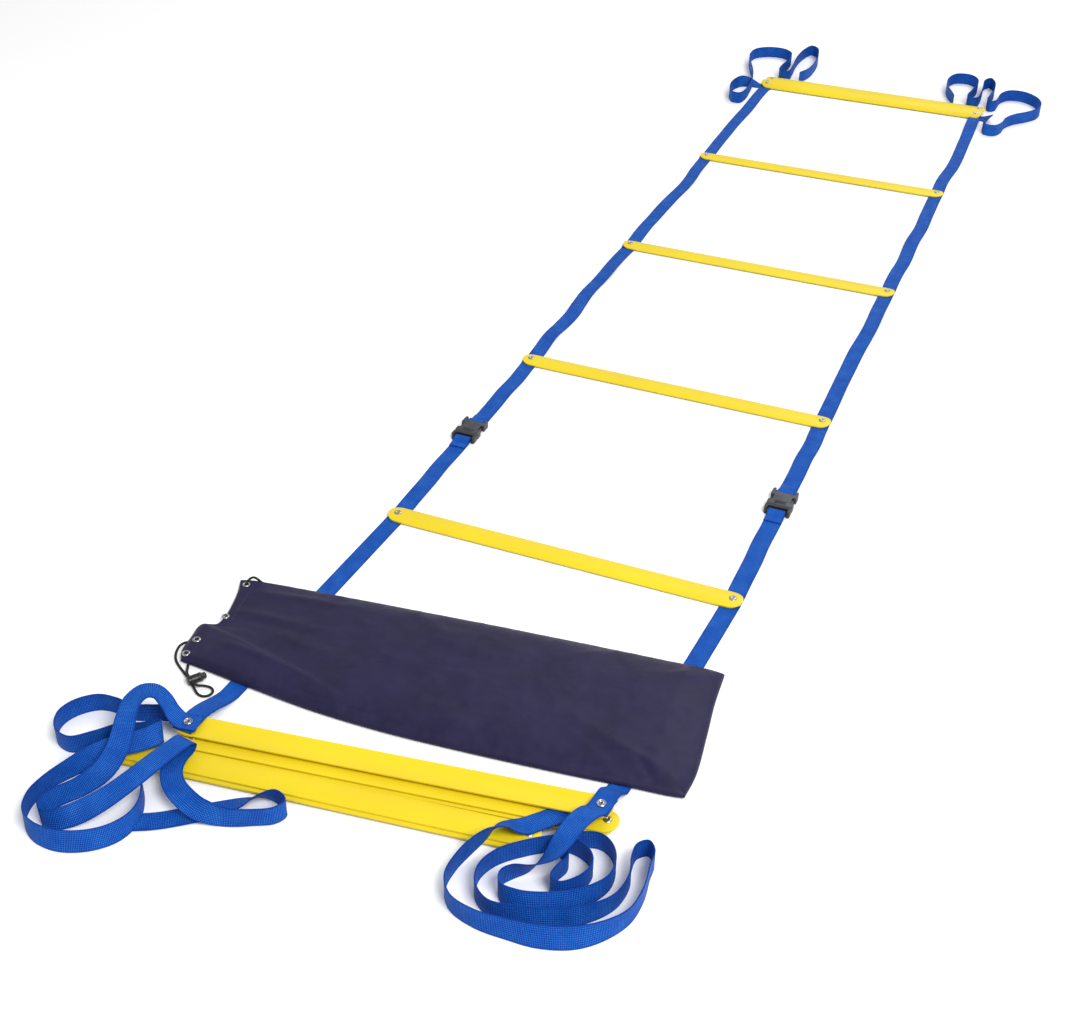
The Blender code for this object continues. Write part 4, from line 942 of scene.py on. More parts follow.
@dataclass
class Rungs:
    """The shallow arched rungs, on the ladder and in both stacks.

    A lower rung of the near stack is given by its number, its shift in millimetres from the top one, whether
    it lies on another, and its turn in degrees. One of the far stack has the first four of these.
    """

    shop: Workshop
    ladder: Ladder
    web: Webbing
    length: float = 0.422
    width: float = 27.0 * MM
    wall: float = 2.0 * MM
    rise: float = 2.2 * MM
    lift: float = 1.7 * MM
    round_over: float = 0.55 * MM
    sharp: float = 50.0
    nested: float = 3.2 * MM
    near_stack: tuple = (
        (2, 8.0, -9.0, True, 0.0), (3, 4.0, -11.7, False, 0.0),
        (4, -55.0, -40.0, True, -1.0), (5, -62.0, -43.0, False, -1.0),
    )
    far_stack: tuple = ((2, 3.0, 24.0, True), (3, -4.0, 16.0, False))
    far_gap: float = 0.4 * MM
    cells: tuple = (96, 16)

    @property
    def height(self) -> float:
        """Return the height of a rung's top over its foot."""
        return self.wall + self.rise

    def shape(self) -> BMesh:
        """Arch one rung about its own centre, its edges resting on zero.

        Returns:
            The rung's shape.
        """
        half = self.width / 2
        straight = self.length / 2 - half
        bm = bmesh.new()
        along, across = self.cells
        bmesh.ops.create_grid(bm, x_segments=along, y_segments=across, size=0.5)
        for vert in bm.verts:
            turn = math.pi * vert.co.y
            y = half * math.sin(turn)
            x = 2.0 * vert.co.x * (straight + half * math.cos(turn))
            vert.co = (x, y, self.rise * (1.0 - (y / half) ** 2) + self.wall)
        bmesh.ops.remove_doubles(bm, verts=bm.verts, dist=MERGE)
        top = bm.faces[:]
        bmesh.ops.recalc_face_normals(bm, faces=top)
        raised = bmesh.ops.extrude_face_region(bm, geom=top, use_keep_orig=True)
        lower = [item for item in raised["geom"] if isinstance(item, bmesh.types.BMVert)]
        bmesh.ops.translate(bm, verts=lower, vec=(0.0, 0.0, -self.wall))
        bmesh.ops.recalc_face_normals(bm, faces=bm.faces)
        limit = math.radians(self.sharp)
        rounded_off(bm, [edge for edge in bm.edges if edge.calc_face_angle(0.0) > limit], self.round_over)
        return bm

    def places(self) -> dict[str, Matrix]:
        """Work out where every rung lies.

        Returns:
            The place of each rung by its CAD node.
        """
        ladder = self.ladder
        base = ladder.matrix()
        places = {
            f"rung_{letter}": base @ Matrix.Translation((0.0, run * ladder.pitch, self.lift))
            for run, letter in enumerate("abcd")
        }
        stack = base @ Matrix.Translation((ladder.near_x, ladder.near_y, 0.0)) @ rotated(ladder.near_yaw, "Z")
        top = Matrix.Translation((0.0, 0.0, ladder.top_level + self.height))
        places["rung_near_1"] = stack @ top @ rotated(180.0, "X")
        floor = 2 * self.web.thickness + ladder.clear
        for number, x, y, lies_on, yaw in self.near_stack:
            level = floor + (self.nested if lies_on else 0.0)
            shift = Matrix.Translation((x * MM, y * MM, level))
            places[f"rung_near_{number}"] = stack @ shift @ rotated(yaw, "Z")
        places["rung_far_1"] = self.leaning()
        for number, x, y, lies_on in self.far_stack:
            level = self.lift + (self.height + self.far_gap if lies_on else 0.0)
            shift = Matrix.Translation((x * MM, 4 * ladder.pitch + y * MM, level))
            places[f"rung_far_{number}"] = base @ shift
        return places

    def leaning_middle(self) -> float:
        """Return the height of the leaning rung's middle over the floor."""
        return self.lift + self.width / 2 * math.sin(math.radians(self.ladder.far_tilt))

    def leaning(self) -> Matrix:
        """Return the place of the far stack's leaning top rung."""
        middle = Matrix.Translation((0.0, 4 * self.ladder.pitch, self.leaning_middle()))
        return self.ladder.matrix() @ middle @ rotated(self.ladder.far_tilt, "X")

    def build(self) -> None:
        """Lay out every rung."""
        pattern = self.shape()
        for node, place in self.places().items():
            self.shop.piece(f"{node}_moulded", moved(pattern.copy(), place), Slot.RUNG, (node,), smooth=60.0)
        pattern.free()


@dataclass
class Rivets:
    """Tubular rivets with dimpled heads and rolled washers, in millimetres."""

    shop: Workshop
    ladder: Ladder
    rungs: Rungs
    head: float = 4.2
    head_height: float = 1.0
    washer: float = 4.5
    washer_height: float = 0.9
    shank: float = 2.2
    steps: int = 32

    def shape(self, washer_base: float, head_base: float) -> BMesh:
        """Return a rivet from its dimpled head down to its rolled washer.

        Args:
            washer_base: The height of the washer's underside, in metres.
            head_base: The height of the head's underside, in metres.

        Returns:
            The rivet about its own axis.
        """
        foot, seat = washer_base / MM, head_base / MM
        top, rim = seat + self.head_height, foot + self.washer_height
        return turned([
            (0.0, top - 0.75), (1.0, top - 0.72), (1.35, top - 0.45), (1.7, top - 0.12), (2.3, top),
            (3.1, top - 0.08), (3.8, top - 0.32), (self.head, top - 0.68), (self.head, seat),
            (self.shank, seat), (self.shank, rim), (self.washer - 0.25, rim), (self.washer, rim - 0.25),
            (self.washer, foot + 0.35), (self.washer - 0.4, foot), (3.6, foot), (3.1, foot + 0.45),
            (2.6, foot + 0.55), (2.3, foot + 0.1), (1.8, foot), (1.3, foot + 0.35), (1.15, foot + 1.4),
            (0.0, foot + 1.5),
        ], self.steps)

    def build(self) -> None:
        """Fasten every rung."""
        ladder, height, clear = self.ladder, self.rungs.height, self.ladder.clear
        below = self.washer_height * MM
        layer = self.rungs.web.thickness + clear
        upright = self.shape(0.0, self.rungs.lift + height + clear - 0.15 * MM)
        flipped = self.shape(-(clear + 2 * layer + below), height + clear)
        leaning = self.shape(-(layer + clear + below), height + 0.15 * MM)
        inner = self.shape(-0.2 * MM, height + 0.1 * MM)
        places = self.rungs.places()
        ends = {side: Matrix.Translation((side.value * ladder.span / 2, 0.0, 0.0)) for side in Side}
        plan = [
            (upright, letter, {side: Matrix.Translation(ladder.rivet(side, run)) for side in Side})
            for run, letter in enumerate("abcd")
        ]
        for pattern, word in ((flipped, "near"), (leaning, "far")):
            plan.append((pattern, word, {side: places[f"rung_{word}_1"] @ ends[side] for side in Side}))
        for pattern, word, spots in plan:
            for side, place in spots.items():
                node = f"rivet_{word}_{side.word}"
                self.shop.piece(f"{node}_turned", moved(pattern.copy(), place), Slot.RIVET, (node,))
        # A rung under the top one of a stack has rivets that no CAD node stands for
        for rung in (rung for rung in places if rung[-1] in "2345"):
            pair = joined([moved(inner.copy(), places[rung] @ end) for end in ends.values()])
            self.shop.piece(f"{rung}_rivets", pair, Slot.RIVET, body=self.shop.body_of(rung))
        for pattern in (upright, flipped, leaning, inner):
            pattern.free()


@dataclass
class Buckles:
    """Side-release buckles, from the frame's own shapes with rounded edges and moulded ribs."""

    shop: Workshop
    round_over: float = 0.45 * MM
    sharp: float = 25.0
    level_angle: float = 1.0
    ribs: int = 4
    rib_start: float = 3.0 * MM
    rib_pitch: float = 1.7 * MM
    rib_size: tuple = (14.0 * MM, 0.9 * MM, 1.1 * MM)
    rib_round: float = 0.3 * MM

    def rounded(self, node: str) -> BMesh:
        """Round the sharp edges of a CAD node's merged copy.

        Args:
            node: The CAD node.

        Returns:
            The new shape.
        """
        bm = bmesh.new()
        bm.from_mesh(self.shop.nodes[node].data)
        bmesh.ops.remove_doubles(bm, verts=bm.verts, dist=MERGE)
        level = math.radians(self.level_angle)
        bmesh.ops.dissolve_limit(bm, angle_limit=level, verts=bm.verts, edges=bm.edges)
        limit = math.radians(self.sharp)
        rounded_off(bm, [edge for edge in bm.edges if edge.calc_face_angle(0.0) > limit], self.round_over)
        return bm

    def grips(self, node: str) -> BMesh:
        """Lay low grip ribs across the top of a buckle half.

        Args:
            node: The half's CAD node.

        Returns:
            The ribs.
        """
        low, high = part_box(node)
        whole = bmesh.new()
        size = Matrix.Diagonal((*self.rib_size, 1.0))
        for index in range(self.ribs):
            y = low.y + self.rib_start + index * self.rib_pitch
            place = Matrix.Translation(((low.x + high.x) / 2, y, high.z))
            made = bmesh.ops.create_cube(whole, size=1.0, matrix=place @ size)
            edges = {edge for vert in made["verts"] for edge in vert.link_edges}
            rounded_off(whole, list(edges), self.rib_round, 2)
        return whole

    def build(self) -> None:
        """Dress both buckles."""
        for side in Side:
            socket = f"buckle_socket_{side.word}"
            shapes = {f"buckle_plug_{side.word}": Slot.PLUG, socket: Slot.SOCKET}
            shapes |= {f"latch_{side.word}_{arm.word}": Slot.PLUG for arm in Side}
            for node, slot in shapes.items():
                shape = self.rounded(node)
                if node == socket:
                    shape = joined([shape, self.grips(node)])
                self.shop.piece(f"{node}_moulded", shape, slot, (node,), smooth=35.0)


@dataclass
class Straps:
    """The webbing along both sides and the gathered ends.

    A strap lies raised on a washer up to flat from the rivet, and is down at fall. Its waves wake beyond
    still from a rivet, where it drifts sideways, billows up and rolls. A bay's stretch between its two bodies
    is twice its reach, starting its lead times the reach before the bay's middle.
    """

    shop: Workshop
    ladder: Ladder
    web: Webbing
    rungs: Rungs
    washer_lift: float = 1.2 * MM
    flat: float = 5.5 * MM
    fall: float = 11.0 * MM
    tongue: float = 10.5 * MM
    hollow: float = 14.0 * MM
    step: float = 3.0 * MM
    ramps: tuple = (66.0 * MM, 40.0 * MM)
    foot_run: float = 20.0 * MM
    still: float = 16.0 * MM
    waking: float = 70.0 * MM
    drift: float = 6.5 * MM
    billow: float = 5.0 * MM
    roll: float = 0.22
    bar_half: float = 1.6 * MM
    bar_levels: tuple = (3.1 * MM, 5.5 * MM)
    bar_lead: float = 12.0 * MM
    link_sway: float = 5.0 * MM
    link_lift: float = 0.8 * MM
    tail_run: tuple = (9.0 * MM, 13.0 * MM, 17.5 * MM)
    fold_reach: tuple = (9.0 * MM, 22.0 * MM, 9.0 * MM)
    fold_lead: tuple = (0.0, 1.0, 2.0)
    stitch_rows: tuple = (15.5 * MM, 12.5 * MM)
    stitch_places: tuple = (-3, -2, -1, 0, 1, 2, 3)
    stitch_pitch: float = 2.7 * MM
    stitch_half: float = 0.85 * MM
    thread: float = 0.22 * MM

    def middle(self) -> float:
        """Return half the webbing's thickness."""
        return self.web.thickness / 2

    def over_washer(self, distance: float) -> float:
        """Return the height of the strap's middle at a distance from a rivet."""
        share = limited((self.fall - abs(distance)) / (self.fall - self.flat))
        return self.middle() + self.washer_lift * eased(share)

    def bay(
        self, name: str, side: Side, ends: tuple[float, float], rivets: list[float], seed: float,
        stands_for: tuple[str, ...], fold: Fold, rise_to: list[tuple[float, float]],
    ) -> None:
        """Lay the webbing of one bay, with the soft waves of used webbing.

        Args:
            name: The piece's name.
            side: The side of the ladder.
            ends: Where it starts and ends along the ladder.
            rivets: The rivets that it passes under.
            seed: Where its waves are read from the noise.
            stands_for: CAD nodes that it replaces.
            fold: The two bodies that it spans, and a stretch between them.
            rise_to: Further points, distance and height, after its end.
        """
        start, end = ends
        line = side.value * self.ladder.span / 2
        count = round((end - start) / self.step)
        rows = []
        for index in range(count + 1):
            y = start + (end - start) * index / count
            near = min(abs(y - rivet) for rivet in rivets)
            free = limited((near - self.still) / self.waking)
            place = Vector((side.value * 3.0 + seed, y * 9.0, 0.5))
            shift = noise.noise(place) * self.drift * free
            lifted = max(0.0, noise.noise(place + Vector((7.0, 1.0, 2.0)))) * self.billow * free
            roll = noise.noise(place + Vector((2.0, 5.0, 9.0))) * self.roll * free
            height = max(self.over_washer(y - rivet) for rivet in rivets) + lifted + abs(roll) * self.tongue
            rows.append((*self.ladder.spot(line + shift, y, height), 1.0, 0.0, roll))
        for y, height in rise_to:
            rows.append((*self.ladder.spot(line, y, height), 1.0, 0.0, 0.0))
        shape = self.web.sweep(np.array(rows))
        if start - rivets[0] > self.tongue:
            self.hollow_start(shape, Vector((0.0, 1.0, 0.0)))
        self.shop.piece(name, shape, Slot.WEBBING, stands_for, fold=fold)

    def hollow_start(self, shape: BMesh, way: Vector) -> None:
        """Cut a strap's start hollow, round the turning tongue before it.

        Args:
            shape: The strap.
            way: The direction in which it runs.
        """
        lay = shape.verts.layers.float_vector["lay"]
        radius = self.tongue + self.ladder.clear
        for vert in shape.verts:
            along, across = vert[lay][0], vert[lay][1]
            share = max(0.0, 1.0 - along / self.hollow)
            back = (radius - math.sqrt(radius ** 2 - across ** 2)) * share
            vert.co -= way * back
            vert[lay] = (along - back, across, 0.0)

    def climb(self) -> tuple[float, list[tuple[float, float]]]:
        """Work out how the last bay climbs under the leaning rung.

        Returns:
            Where its flat webbing ends along the ladder, and the distance and height of each point beyond.
        """
        lean = math.radians(self.ladder.far_tilt)
        slope, fall = math.sin(lean), math.cos(lean)
        middle, below = self.rungs.leaning_middle(), self.ladder.clear + self.middle()
        foot = (self.middle() - middle + below * fall) / slope
        base = 4 * self.ladder.pitch
        rise = [
            (base + along * fall + below * slope, middle + along * slope - below * fall)
            for along in (foot + 2.0 * MM, foot + 8.0 * MM, -6.0 * MM, 0.0, 9.5 * MM)
        ]
        return base + foot * fall + below * slope - 2.0 * MM, rise

    def bays(self) -> None:
        """Lay the three flat bays beyond rung B."""
        pitch = self.ladder.pitch
        bodies = ("rung_b_unit", "rung_c_unit", "rung_d_unit", "far_end")
        words = ("b", "c", "d", "far")
        for side in Side:
            for bay in range(3):
                start = (bay + 1) * pitch + self.tongue + (0.0 if bay else self.ladder.clear)
                end, rise = (bay + 2) * pitch + self.tongue, []
                rivets = [(bay + 1) * pitch, (bay + 2) * pitch]
                if bay == 2:
                    end, rise = self.climb()
                    rivets.pop()
                nodes = tuple(f"strap_{words[index]}_{side.word}" for index in (bay, bay + 1))
                reach = self.fold_reach[bay]
                crease = self.ladder.origin_y + (bay + 1.5) * pitch - self.fold_lead[bay] * reach
                fold = Fold(bodies[bay], bodies[bay + 1], crease, crease + 2.0 * reach)
                name = f"webbing_{words[bay]}_{side.word}"
                self.bay(name, side, (start, end), rivets, 11.0 * bay, nodes, fold, rise)

    def near_runs(self) -> None:
        """Run each strap from rung A under the bag and up over the near stack."""
        ladder, rungs, flat = self.ladder, self.rungs, self.middle()
        level = ladder.top_level + rungs.height + ladder.clear + flat
        for side, ramp in zip(Side, self.ramps):
            start = ladder.rivet(side)
            run = ladder.stack_rivet(side) - start
            way, length = run.normalized(), run.length
            across = Vector((-way.y, way.x, 0.0))
            shoulder = length - rungs.width / 2 - 2.0 * MM
            knots = [
                (self.tongue + ladder.clear, flat), (length - ramp - self.foot_run, flat),
                (length - ramp, flat + 0.3 * MM), (shoulder - 3.0 * MM, level - 0.8 * MM),
                (shoulder + 1.0 * MM, level), (length, level), (length + self.tongue, level),
            ]
            rows = []
            for (before, low), (after, high) in zip(knots, knots[1:]):
                count = max(1, round((after - before) / self.step))
                for index in range(count):
                    share = index / count
                    place = start + way * (before + (after - before) * share)
                    place.z = low + (high - low) * 0.5 * (share + eased(share))
                    rows.append((*place, *across))
            end = start + way * knots[-1][0]
            rows.append((end.x, end.y, level, *across))
            shape = self.web.sweep(np.array(rows))
            self.hollow_start(shape, way)
            self.shop.piece(f"webbing_near_{side.word}", shape, Slot.WEBBING, (f"strap_near_{side.word}",))

    def link_rows(self, flip: float) -> tuple[np.ndarray, np.ndarray]:
        """Return a link strap's line about its rivet, and its share of full width.

        Args:
            flip: 1 toward +Y, or -1 toward -Y.

        Returns:
            The rows of place and width direction, and the shares.
        """
        bar = self.bar_distance()
        rows, shares = [], []
        for turn in (-75.0, -60.0, -45.0, -30.0, -15.0):
            y = self.tongue * math.sin(math.radians(turn))
            rows.append((0.0, y, self.over_washer(y)))
            shares.append(math.cos(math.radians(turn)))
        reach = bar - self.bar_lead
        count = round(reach / self.step)
        for index in range(count + 1):
            y = reach * index / count
            free = math.sin(math.pi * index / count) ** 2
            sway = noise.noise(Vector((y * 11.0, flip * 3.0, 1.0))) * self.link_sway * free
            rows.append((sway, y, self.over_washer(y) + self.link_lift * free))
        wrap = self.ladder.clear + self.middle()
        low, high = self.bar_levels
        tail = self.web.thickness + wrap
        path = [(bar - 6.5 * MM, self.middle() + 0.1 * MM), (bar - self.bar_half, low - wrap)]
        for centre, first in ((low, -90.0), (high, 0.0)):
            for turn in (0.0, 30.0, 60.0, 90.0):
                angle = math.radians(first + turn)
                path.append((bar + self.bar_half + wrap * math.cos(angle), centre + wrap * math.sin(angle)))
        over = high + wrap
        path += [
            (bar - self.bar_half, over), (bar - 4.2 * MM, over - 1.5 * MM), (bar - 6.5 * MM, tail + 0.3 * MM),
            *((bar - run, tail) for run in self.tail_run),
        ]
        rows += [(0.0, y, z) for y, z in path]
        shares += [1.0] * (len(rows) - len(shares))
        table = np.array([(x, flip * y, z, flip, 0.0, 0.0) for x, y, z in rows])
        return table, np.array(shares)

    def bar_distance(self) -> float:
        """Return the distance from a rivet to its buckle's bar, read from the frame."""
        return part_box("buckle_plug_left")[0].y + self.bar_half - self.ladder.origin_y

    def links(self) -> None:
        """Fold the link straps round their buckle bars and sew their tails."""
        for side in Side:
            for word, run, flip in (("near", 0, 1.0), ("far", 1, -1.0)):
                table, shares = self.link_rows(flip)
                place = self.ladder.rivet(side, run)
                name = f"link_{word}_{side.word}"
                shape = self.web.sweep(table + np.array((*place, 0.0, 0.0, 0.0)), shares)
                self.shop.piece(f"webbing_{name}", shape, Slot.WEBBING, (f"strap_{name}",))
                self.sew(name, place, flip)

    def sew(self, name: str, place: Vector, flip: float) -> None:
        """Stitch a link strap's tail down with two rows across it.

        Args:
            name: The strap's name.
            place: The rivet's place.
            flip: 1 toward +Y, or -1 toward -Y.
        """
        top = self.web.thickness * 2 + self.ladder.clear + 0.05 * MM
        stitches = []
        for distance in self.stitch_rows:
            y = flip * (self.bar_distance() - distance)
            for index in self.stitch_places:
                x = index * self.stitch_pitch
                stitches.append(tuple(
                    place + Vector((x + half, y, top)) for half in (-self.stitch_half, self.stitch_half)
                ))
        self.shop.piece(
            f"stitching_{name}", capsules(stitches, self.thread), Slot.WEBBING,
            body=self.shop.body_of(f"strap_{name}"), finish=self.shop.blue_thread,
        )

    def gathered(self) -> None:
        """Lay the gathered straps in their loops."""
        for route in ROUTES:
            near = route.word.startswith("near")
            rivet = self.ladder.stack_rivet(route.side) if near else self.ladder.rivet(route.side, 4)
            shape = self.web.sweep(smooth_rows(route.rows(rivet), self.step))
            node = f"bundle_{route.word.removesuffix('_inner')}"
            stands_for = () if route.word.endswith("_inner") else (node,)
            self.shop.piece(
                f"webbing_loops_{route.word}", shape, Slot.WEBBING, stands_for, body=self.shop.body_of(node),
                smooth=50.0,
            )

    def build(self) -> None:
        """Lay all the webbing."""
        self.near_runs()
        self.links()
        self.bays()
        self.gathered()


@dataclass(frozen=True)
class Crease:
    """A soft fold in the bag, from one place to another in shares of its length and width.

    Its spread and its lift are in millimetres. A stepped fold stays high on one side, and an even one doesn't
    fade along its length.
    """

    start: tuple[float, float]
    end: tuple[float, float]
    spread: float
    lift: float
    stepped: bool = False
    even: bool = False

    def rise(self, x: np.ndarray, y: np.ndarray, size: tuple[float, float]) -> np.ndarray:
        """Return the fold's height.

        Args:
            x: Places along the bag, as shares of its length.
            y: Places across the bag, as shares of its width.
            size: The bag's length and width.

        Returns:
            The heights in metres.
        """
        spread, lift = self.spread * MM, self.lift * MM
        run_x, run_y = (self.end[0] - self.start[0]) * size[0], (self.end[1] - self.start[1]) * size[1]
        away_x, away_y = (x - self.start[0]) * size[0], (y - self.start[1]) * size[1]
        length = math.hypot(run_x, run_y)
        along = (away_x * run_x + away_y * run_y) / length ** 2
        off = (run_x * away_y - run_y * away_x) / length
        fade = np.interp(along, (-0.12, 0.0, 0.25, 1.0), (0.0, 0.55, 1.0, 0.0))
        if self.even:
            fade = np.interp(along, (-0.03, 0.03, 0.97, 1.03), (0.0, 1.0, 1.0, 0.0))
        if self.stepped:
            return lift * fade * (0.5 - np.arctan(off / spread) / math.pi)
        return lift * fade * np.exp(-((off / spread) ** 2))


@dataclass
class Bag:
    """The empty carry bag, a low shell that lies over the straps with its mouth folded in.

    The edges, the eyelets and the stitches are in shares of its length and width. A rumple has its waves
    along and across the bag, its place in the noise and its height.
    """

    shop: Workshop
    ladder: Ladder
    x: float = -27.0 * MM
    y: float = -231.0 * MM
    length: float = 535.0 * MM
    width: float = 190.0 * MM
    yaw: float = 4.5
    lift: float = 1.7 * MM
    hem: float = 3.4 * MM
    crown: float = 11.5 * MM
    edge: float = 1.9 * MM
    rim: float = 2.5 * MM
    underlap: float = 0.7 * MM
    edge_rise: float = 17.0 * MM
    mouth_flat: float = 14.0 * MM
    mouth_rise: float = 60.0 * MM
    crease_fade: float = 7.0 * MM
    rumples: tuple = ((6.0, 2.6, 3.0, 1.8 * MM), (24.0, 8.0, 8.0, 0.7 * MM))
    pucker: float = 0.9 * MM
    pucker_reach: float = 13.0 * MM
    pucker_fade: float = 4.0 * MM
    stitches: int = 38
    stitch_line: float = -0.455
    stitch_slant: float = 0.012
    stitch_start: float = -0.005
    stitch_pitch: float = 0.010
    stitch_half: float = 0.003
    thread: float = 0.2 * MM
    eyelet_sides: int = 36
    edge_count: int = 200
    slant_start: float = 0.05
    slant_run: float = 0.33
    thread_lift: float = 0.1 * MM
    near_share: tuple = (
        (-0.492, -0.345), (-0.450, -0.362), (-0.333, -0.420), (-0.200, -0.475), (-0.060, -0.503),
        (0.100, -0.505), (0.273, -0.493), (0.400, -0.477), (0.470, -0.470), (0.492, -0.462),
    )
    far_share: tuple = (
        (-0.500, 0.385), (-0.480, 0.402), (-0.300, 0.428), (-0.150, 0.445), (0.020, 0.462), (0.200, 0.475),
        (0.380, 0.484), (0.460, 0.486), (0.490, 0.476),
    )
    mouth_share: tuple = (
        (-0.492, -0.345), (-0.504, -0.270), (-0.507, -0.150), (-0.507, -0.050), (-0.480, -0.018),
        (-0.475, 0.060), (-0.481, 0.200), (-0.490, 0.310), (-0.500, 0.385),
    )
    foot_share: tuple = ((0.492, -0.462), (0.499, -0.300), (0.495, 0.0), (0.490, 0.240), (0.490, 0.476))
    eyelets: tuple = ((-0.480, 0.349), (-0.472, 0.055), (-0.486, -0.193), (-0.486, -0.310))
    creases: tuple = (
        Crease((-0.507, -0.030), (-0.120, -0.400), 1.2, 5.0, stepped=True),
        Crease((-0.450, 0.120), (-0.250, 0.060), 7.0, 2.2),
        Crease((-0.440, 0.300), (-0.150, 0.320), 6.0, 1.6),
        Crease((-0.420, -0.190), (-0.180, -0.330), 5.0, 1.8),
        Crease((-0.400, 0.000), (-0.100, -0.150), 8.0, 1.4),
        Crease((0.470, 0.420), (0.270, 0.120), 9.0, 2.4),
        Crease((0.460, -0.400), (0.220, -0.100), 8.0, 2.2),
        Crease((0.436, -0.426), (0.380, -0.300), 4.0, -2.4),
        Crease((0.300, 0.450), (0.160, 0.200), 8.0, 1.4),
        Crease((0.050, -0.460), (0.120, -0.150), 9.0, 1.3),
        Crease((-0.120, 0.400), (0.020, 0.120), 8.0, 1.3),
        Crease((-0.323, -0.440), (-0.323, 0.420), 8.0, 0.7, even=True),
        Crease((0.424, -0.460), (0.424, 0.460), 8.0, 0.7, even=True),
        Crease((-0.235, -0.401), (-0.030, -0.462), 0.9, -0.9, even=True),
        Crease((-0.030, -0.462), (0.273, -0.464), 0.9, -0.9, even=True),
        Crease((0.273, -0.464), (0.440, -0.440), 0.9, -0.9, even=True),
        Crease((-0.462, -0.010), (-0.470, 0.380), 0.8, -0.6, even=True),
    )

    def matrix(self) -> Matrix:
        """Return the bag's own place."""
        return self.ladder.matrix() @ Matrix.Translation((self.x, self.y, 0.0)) @ rotated(self.yaw, "Z")

    def edge_points(self, shares: tuple, count: int) -> np.ndarray:
        """Spread places evenly along one edge of the outline.

        Args:
            shares: The edge's points in shares of the bag's length and width.
            count: The number of places.

        Returns:
            The places, in metres.
        """
        rows = np.array([(x * self.length, y * self.width, 0.0) for x, y in shares])
        fine = smooth_rows(rows, 2.0 * MM)
        lengths = travelled(fine)
        wanted = np.linspace(0.0, lengths[-1], count)
        return np.stack([np.interp(wanted, lengths, fine[:, part]) for part in range(2)], axis=1)

    def height(self, places: np.ndarray, inward: np.ndarray, from_mouth: np.ndarray) -> np.ndarray:
        """Return the cloth's height over its lift.

        Args:
            places: Places on the bag, in metres.
            inward: Their distances from the sewn edges.
            from_mouth: Their distances from the open end.

        Returns:
            The heights in metres.
        """
        x, y = places[:, 0] / self.length, places[:, 1] / self.width
        least = np.minimum(inward, from_mouth)
        past_hem = np.maximum(from_mouth - self.mouth_flat, 0.0)
        ease = (1.0 - np.exp(-inward / self.edge_rise)) * (1.0 - np.exp(-past_hem / self.mouth_rise))
        rim = np.sqrt(1.0 - (1.0 - np.clip(least / self.rim, 0.0, 1.0)) ** 2)
        total = self.edge + (self.hem - self.edge) * rim
        total += self.crown * ease * (0.80 + 0.20 * np.cos(3.1 * (x - 0.1)))
        for crease in self.creases:
            rise = crease.rise(x, y, (self.length, self.width))
            total += rise * np.clip(least / self.crease_fade, 0.0, 1.0)
        for *waves, size in self.rumples:
            places = [Vector((a * waves[0], b * waves[1], waves[2])) for a, b in zip(x, y)]
            total += np.array([noise.fractal(spot, 1.0, 2.0, 3) for spot in places]) * size * ease
        pucker = np.array([noise.noise(Vector((a * 62.0, b * 9.0, 5.0))) for a, b in zip(x, y)])
        sewn = np.exp(-inward / self.pucker_reach) * np.clip(least / self.pucker_fade, 0.0, 1.0)
        return total + pucker * self.pucker * sewn

    def surface(self, columns: int = 240, rows: int = 96) -> tuple[np.ndarray, np.ndarray]:
        """Map the bag's sheet between its four edges.

        Args:
            columns: Faces along the bag.
            rows: Faces across the bag.

        Returns:
            The places and the heights, both from the near mouth corner.
        """
        near, far = (self.edge_points(edge, columns + 1) for edge in (self.near_share, self.far_share))
        mouth, foot = (self.edge_points(edge, rows + 1) for edge in (self.mouth_share, self.foot_share))
        u = np.linspace(0.0, 1.0, columns + 1)[:, None, None]
        v = np.linspace(0.0, 1.0, rows + 1)[None, :, None]
        corners = (1 - u) * (1 - v) * near[0] + u * (1 - v) * near[-1]
        corners = corners + (1 - u) * v * far[0] + u * v * far[-1]
        places = (1 - v) * near[:, None] + v * far[:, None] + (1 - u) * mouth[None] + u * foot[None] - corners
        sides = np.minimum(
            np.linalg.norm(places - near[:, None], axis=2), np.linalg.norm(places - far[:, None], axis=2),
        )
        inward = np.minimum(sides, np.linalg.norm(places - foot[None], axis=2)).reshape(-1)
        from_mouth = np.linalg.norm(places - mouth[None], axis=2).reshape(-1)
        flat = places.reshape(-1, 2)
        heights = self.height(flat, inward, from_mouth).reshape(columns + 1, rows + 1)
        return places, heights

    def shell(self) -> BMesh:
        """Raise the bag's closed shell in its own frame.

        Returns:
            The shell.
        """
        places, heights = self.surface()
        columns, rows = heights.shape[0] - 1, heights.shape[1] - 1
        bm = bmesh.new()
        bmesh.ops.create_grid(bm, x_segments=columns, y_segments=rows, size=0.5)
        lay = bm.verts.layers.float_vector.new("lay")
        for vert in bm.verts:
            column, row = round((vert.co.x + 0.5) * columns), round((vert.co.y + 0.5) * rows)
            x, y = places[column, row]
            vert.co = (x, y, self.lift + heights[column, row])
            vert[lay] = (x, y, 0.0)
        upper = bm.verts[:]
        rim = {vert for edge in bm.edges if edge.is_boundary for vert in edge.verts}
        bmesh.ops.extrude_face_region(bm, geom=bm.faces[:], use_keep_orig=True)
        known = set(upper)
        for vert in bm.verts:
            if vert not in known:
                vert.co.z = self.lift
        for vert in rim:
            for edge in vert.link_edges:
                other = edge.other_vert(vert)
                if other not in known:
                    other.co.z = self.lift + self.underlap
        bmesh.ops.recalc_face_normals(bm, faces=bm.faces)
        return bm

